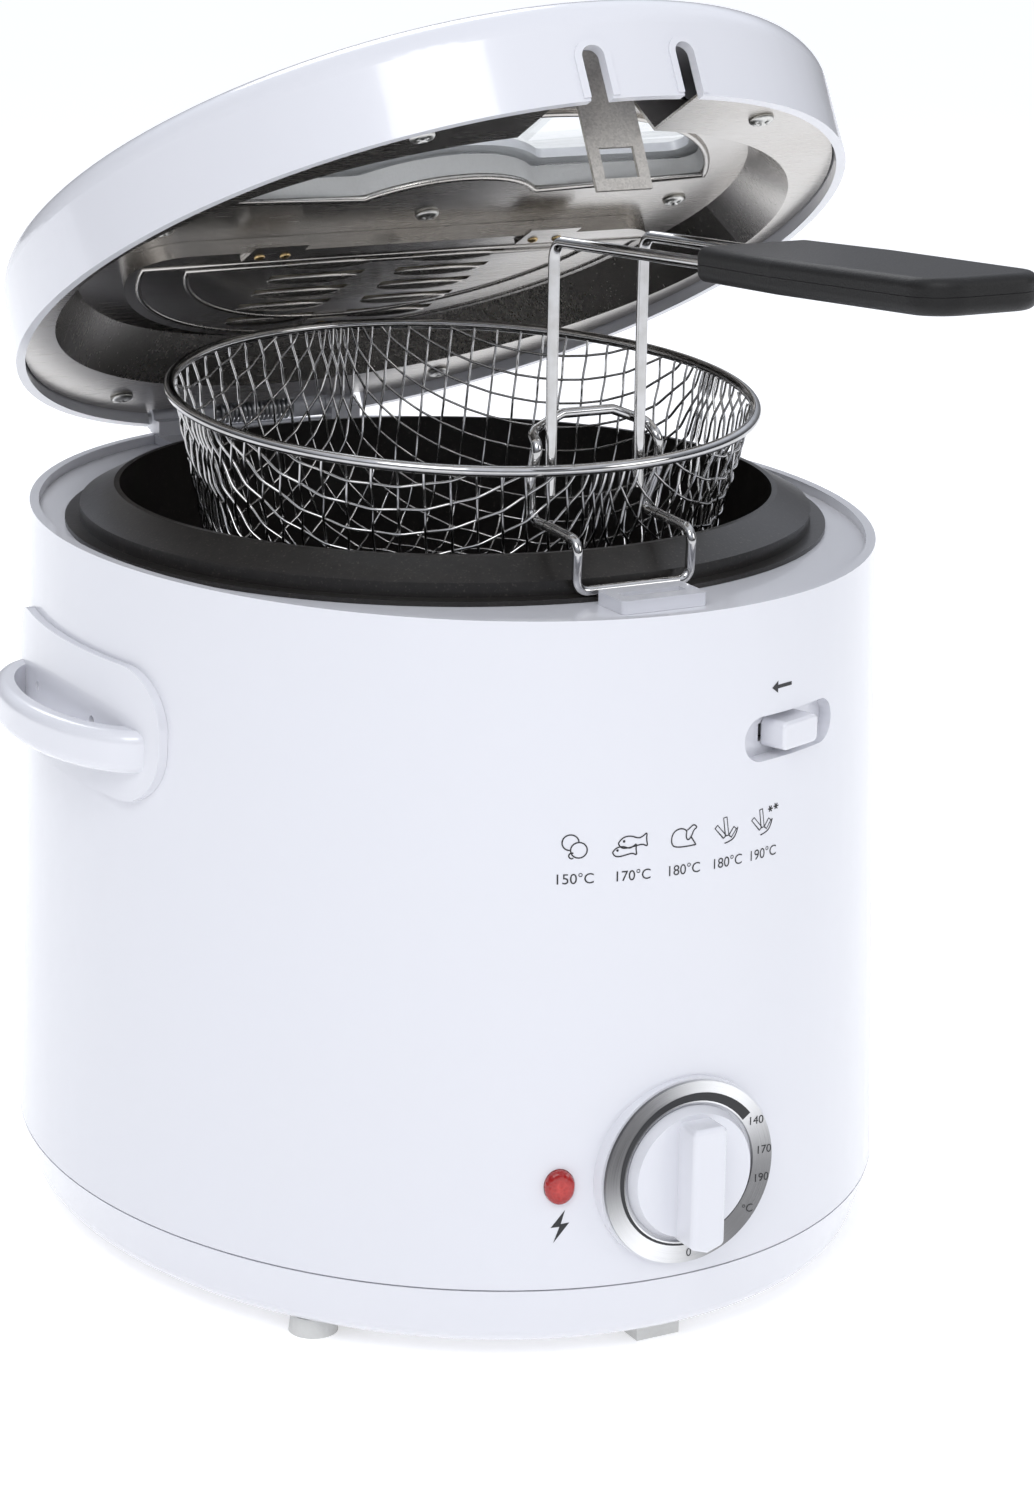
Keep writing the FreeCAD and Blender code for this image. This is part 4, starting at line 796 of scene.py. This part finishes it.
band = bmesh.new()
BAND_START = 183
BAND_SWEEP = 230
BAND_INSIDE = RING_BORE + 0.0004
BAND_OUTSIDE = RING_BORE + 0.0009
STEPS = 46
start_edge = [band.verts.new(dial_point(BAND_START, edge)) for edge in (BAND_INSIDE, BAND_OUTSIDE)]
sweep = [band.edges.new(start_edge)]
for step in range(1, STEPS + 1):
    grown = bmesh.ops.extrude_edge_only(band, edges=sweep)["geom"]
    sweep = [item for item in grown if isinstance(item, bmesh.types.BMEdge)]
    ends = sorted({corner for edge in sweep for corner in edge.verts}, key=lambda corner: corner.co.length)
    degrees = BAND_START + BAND_SWEEP * step / STEPS
    ends[0].co = dial_point(degrees, BAND_INSIDE)
    ends[1].co = dial_point(degrees, BAND_OUTSIDE + 0.0021 * (step / STEPS) ** 1.4)
bmesh.ops.recalc_face_normals(band, faces=band.faces)
if list(band.faces)[0].normal.z < 0:
    bmesh.ops.reverse_faces(band, faces=band.faces)
scale_marks = [mesh_from(band)]
for degrees, text in ((61, "140"), (84, "170"), (104, "190"), (127, "\u00b0C"), (179, "0")):
    word = lettering(text, 0.0021)
    word.transform(Matrix.Translation(dial_point(degrees, RING_BORE + 0.0031)))
    scale_marks.append(word)
scale = joined(scale_marks, "dial_scale")
scale.transform(Matrix.Rotation(math.radians(90), 4, "X"))
scale.transform(Matrix.Translation((dial_axis.x, ring_face - 0.00006, dial_axis.z)))
add_piece("dial_scale", scale, ink.material, "housing")

# %% [markdown]
# ## Inside of the lid
# The lid is drawn shut and then turned open about its hinge, as the frame's lid is. Its joint in the
# frame's record gives the axis and the angle.

# %% The lid's own frame
hinge = next(joint for joint in frame["joints"] if joint["name"] == "lid_hinge")
hinge_at = Matrix.Translation(Vector(hinge["pos_m"]))
OPEN_LID = hinge_at @ Matrix.Rotation(math.radians(hinge["range_deg"][0]), 4, "X") @ hinge_at.inverted()
SHUT_LID = OPEN_LID.inverted()


def shut_box(name):
    """Lowest and highest corner of a lid node when the lid is shut."""
    places = [SHUT_LID @ vertex.co for vertex in frame["nodes"][name].data.vertices]
    return (Vector([min(p[k] for p in places) for k in range(3)]),
            Vector([max(p[k] for p in places) for k in range(3)]))


cover_low, cover_high = shut_box("filter_cover")
PAN_FLOOR = cover_high.z
print("pan floor at", round(PAN_FLOOR, 4))

# %% [markdown]
# The pressed edges catch the light: the rim of the window is turned up in a round bead, and the filter
# cover has one bead along its edge. A bead is a wire along the outline, half sunk in the sheet.

# %% Beads round the window and the filter
def lobe_outline(outer, line, lobe, lobe_y, corner):
    """Window outline: an arc in front, a straight edge behind with a lobe that bulges forwards."""
    end = math.degrees(math.asin(line / outer))
    front = arc(0, 0, outer, 180 + end + corner, 360 - end - corner, 48)
    half = math.sqrt(lobe**2 - (line - lobe_y) ** 2)
    side = math.degrees(math.atan2(-(line - lobe_y), half))
    back_line = arc(0, -lobe_y, lobe, side, -180 - side, 24)
    return front + back_line


window_bead = wires([lobe_outline(77.5, 22.5, 30.5, 4.0, 3)], 0.0009, closed=True, sides=2)
window_bead.transform(Matrix.Translation((0, 0, PAN_FLOOR - 0.0002)))
window_bead.transform(OPEN_LID)
add_piece("window_bead", window_bead, pan_steel, "lid")


def half_disc(outer, line, corner, steps=40):
    """Filter outline: the rear part of a circle with a straight front edge."""
    end = math.degrees(math.asin(line / outer))
    return arc(0, 0, outer, end + corner, 180 - end - corner, steps)


cover_face = cover_low.z
bead_runs = [half_disc(73.5, 7.5, 3), half_disc(61.0, 12.0, 3)]
cover_beads = wires(bead_runs, 0.0008, closed=True, sides=2)
cover_beads.transform(Matrix.Translation((0, 0, cover_face + 0.0002)))
cover_beads.transform(OPEN_LID)
add_piece("filter_beads", cover_beads, pan_steel, "lid")

# %% [markdown]
# Each opening of the filter cover is a louvre: a slit with one lip pushed out like an eyelid. Half of a
# stretched ball gives the lip, and the same lip serves all ten slits.

# %% Louvre lips
FIRST_ROW = 13.0
ROW_PITCH = 11.5
WIDEST = 27.0
COVER_REACH = 68.0
lips = bmesh.new()
for row in range(5):
    y = FIRST_ROW + row * ROW_PITCH
    wide = min(WIDEST, math.sqrt(COVER_REACH**2 - y**2) - 8.0)
    for hand in (-1, 1):
        middle = hand * (5.0 + wide / 2)
        ball = bmesh.ops.create_uvsphere(lips, u_segments=24, v_segments=8, radius=1.0)["verts"]
        bmesh.ops.rotate(lips, verts=ball, cent=(0, 0, 0), matrix=Matrix.Rotation(math.radians(90), 3, "Y"))
        bmesh.ops.scale(lips, verts=ball, vec=(wide / 2 * MM, 2.6 * MM, 1.5 * MM))
        bmesh.ops.translate(lips, verts=ball, vec=(middle * MM, (y + 3.2) * MM, cover_face + 0.0002))
bmesh.ops.bisect_plane(
    lips, geom=lips.verts[:] + lips.edges[:] + lips.faces[:], plane_co=(0, 0, cover_face + 0.0003),
    plane_no=(0, 0, 1), clear_outer=True,
)
louvres = mesh_from(lips)
louvres.transform(OPEN_LID)
add_piece("louvre_lips", louvres, pan_steel, "lid")

# %% [markdown]
# ## Screws
# A screw is more than a disc: the head is a low dome with a cross recess. The dome is spun from a short
# profile, and the recess is cut with two crossed bars before copies go to every screw's place.

# %% One screw head
def screw_head(radius, rise):
    """A low domed head with a cross recess, its face looking along -Z, its seat at z = 0."""
    work = bmesh.new()
    bmesh.ops.create_circle(work, cap_ends=False, segments=28, radius=radius)
    loop = work.edges[:]
    for share, drop in ((1.0, 0.35), (0.86, 0.75), (0.55, 0.96), (0.3, 1.0)):
        grown = bmesh.ops.extrude_edge_only(work, edges=loop)["geom"]
        loop = [item for item in grown if isinstance(item, bmesh.types.BMEdge)]
        for corner in {corner for edge in loop for corner in edge.verts}:
            corner.co.xy = corner.co.xy.normalized() * radius * share
            corner.co.z = -rise * drop
    bmesh.ops.holes_fill(work, edges=work.edges, sides=40)
    bmesh.ops.recalc_face_normals(work, faces=work.faces)
    head = bpy.data.objects.new("head", mesh_from(work))
    bpy.context.scene.collection.objects.link(head)
    bars = bmesh.new()
    for turn in (0, 90):
        bar = bmesh.ops.create_cube(bars, size=1.0)["verts"]
        bmesh.ops.scale(bars, verts=bar, vec=(radius * 1.15, radius * 0.26, rise * 1.1))
        skew = Matrix.Rotation(math.radians(turn + 20), 3, "Z")
        bmesh.ops.rotate(bars, verts=bar, cent=(0, 0, 0), matrix=skew)
        bmesh.ops.translate(bars, verts=bar, vec=(0, 0, -rise * 0.95))
    tool = bpy.data.objects.new("tool", mesh_from(bars))
    bpy.context.scene.collection.objects.link(tool)
    carve = head.modifiers.new("recess", "BOOLEAN")
    carve.object = tool
    carve.operation = "DIFFERENCE"
    carve.use_self = True
    bpy.context.view_layer.update()
    mesh = bpy.data.meshes.new_from_object(head.evaluated_get(bpy.context.evaluated_depsgraph_get()))
    bpy.data.objects.remove(head)
    bpy.data.objects.remove(tool)
    return mesh


# %% Screws in the lid
def screw_places(name):
    """The head centres of the loose screws in one lid node, when the lid is shut."""
    work = bmesh.new()
    work.from_mesh(frame["nodes"][name].data)
    bmesh.ops.transform(work, matrix=SHUT_LID, verts=work.verts)
    bmesh.ops.remove_doubles(work, verts=work.verts, dist=1e-6)
    places = []
    left = set(work.verts)
    while left:
        island, front = set(), [left.pop()]
        while front:
            corner = front.pop()
            island.add(corner)
            near = {edge.other_vert(corner) for edge in corner.link_edges} & left
            left -= near
            front.extend(near)
        low = min(corner.co.z for corner in island)
        places.append(Vector((
            (min(c.co.x for c in island) + max(c.co.x for c in island)) / 2,
            (min(c.co.y for c in island) + max(c.co.y for c in island)) / 2, low)))
    work.free()
    return places


heads = []
for name in ("lid_screws", "latch_screw"):
    for place in screw_places(name):
        head = screw_head(0.0031, 0.0014)
        head.transform(Matrix.Translation(place + Vector((0, 0, 0.00145))))
        heads.append(head)
screws = joined(heads, "lid_screw_heads")
screws.transform(OPEN_LID)
add_piece("lid_screw_heads", screws, screw_zinc.material, "lid", ["lid_screws", "latch_screw"])

# %% Rivets
rivet_heads = bmesh.new()
for place in screw_places("filter_rivets"):
    ball = bmesh.ops.create_uvsphere(rivet_heads, u_segments=20, v_segments=10, radius=1.0)["verts"]
    bmesh.ops.scale(rivet_heads, verts=ball, vec=(0.00145, 0.00145, 0.0008))
    bmesh.ops.translate(rivet_heads, verts=ball, vec=place + Vector((0, 0, 0.0007)))
rivets = mesh_from(rivet_heads)
rivets.transform(OPEN_LID)
add_piece("rivet_heads", rivets, brass.material, "lid", ["filter_rivets"])

# %% [markdown]
# ## Floor
# The fryer stands on a plain pale board with a little gloss, which gives the soft mirror image under it.

# %% Floor
floor_mesh = bmesh.new()
bmesh.ops.create_grid(floor_mesh, x_segments=1, y_segments=1, size=4.0)
floor_data = bpy.data.meshes.new("floor")
floor_mesh.to_mesh(floor_data)
floor_mesh.free()
floor = bpy.data.objects.new("floor", floor_data)
bpy.context.scene.collection.objects.link(floor)
board = Finish("pale board", (0.9, 0.9, 0.9), 0.5, Specular_IOR_Level=0.25,
               Emission_Color=(1, 1, 1, 1), Emission_Strength=0.35)
board.set("Roughness", 0.42 + 0.1 * board.noise(3.0, 2.0))
floor_data.materials.append(board.material)
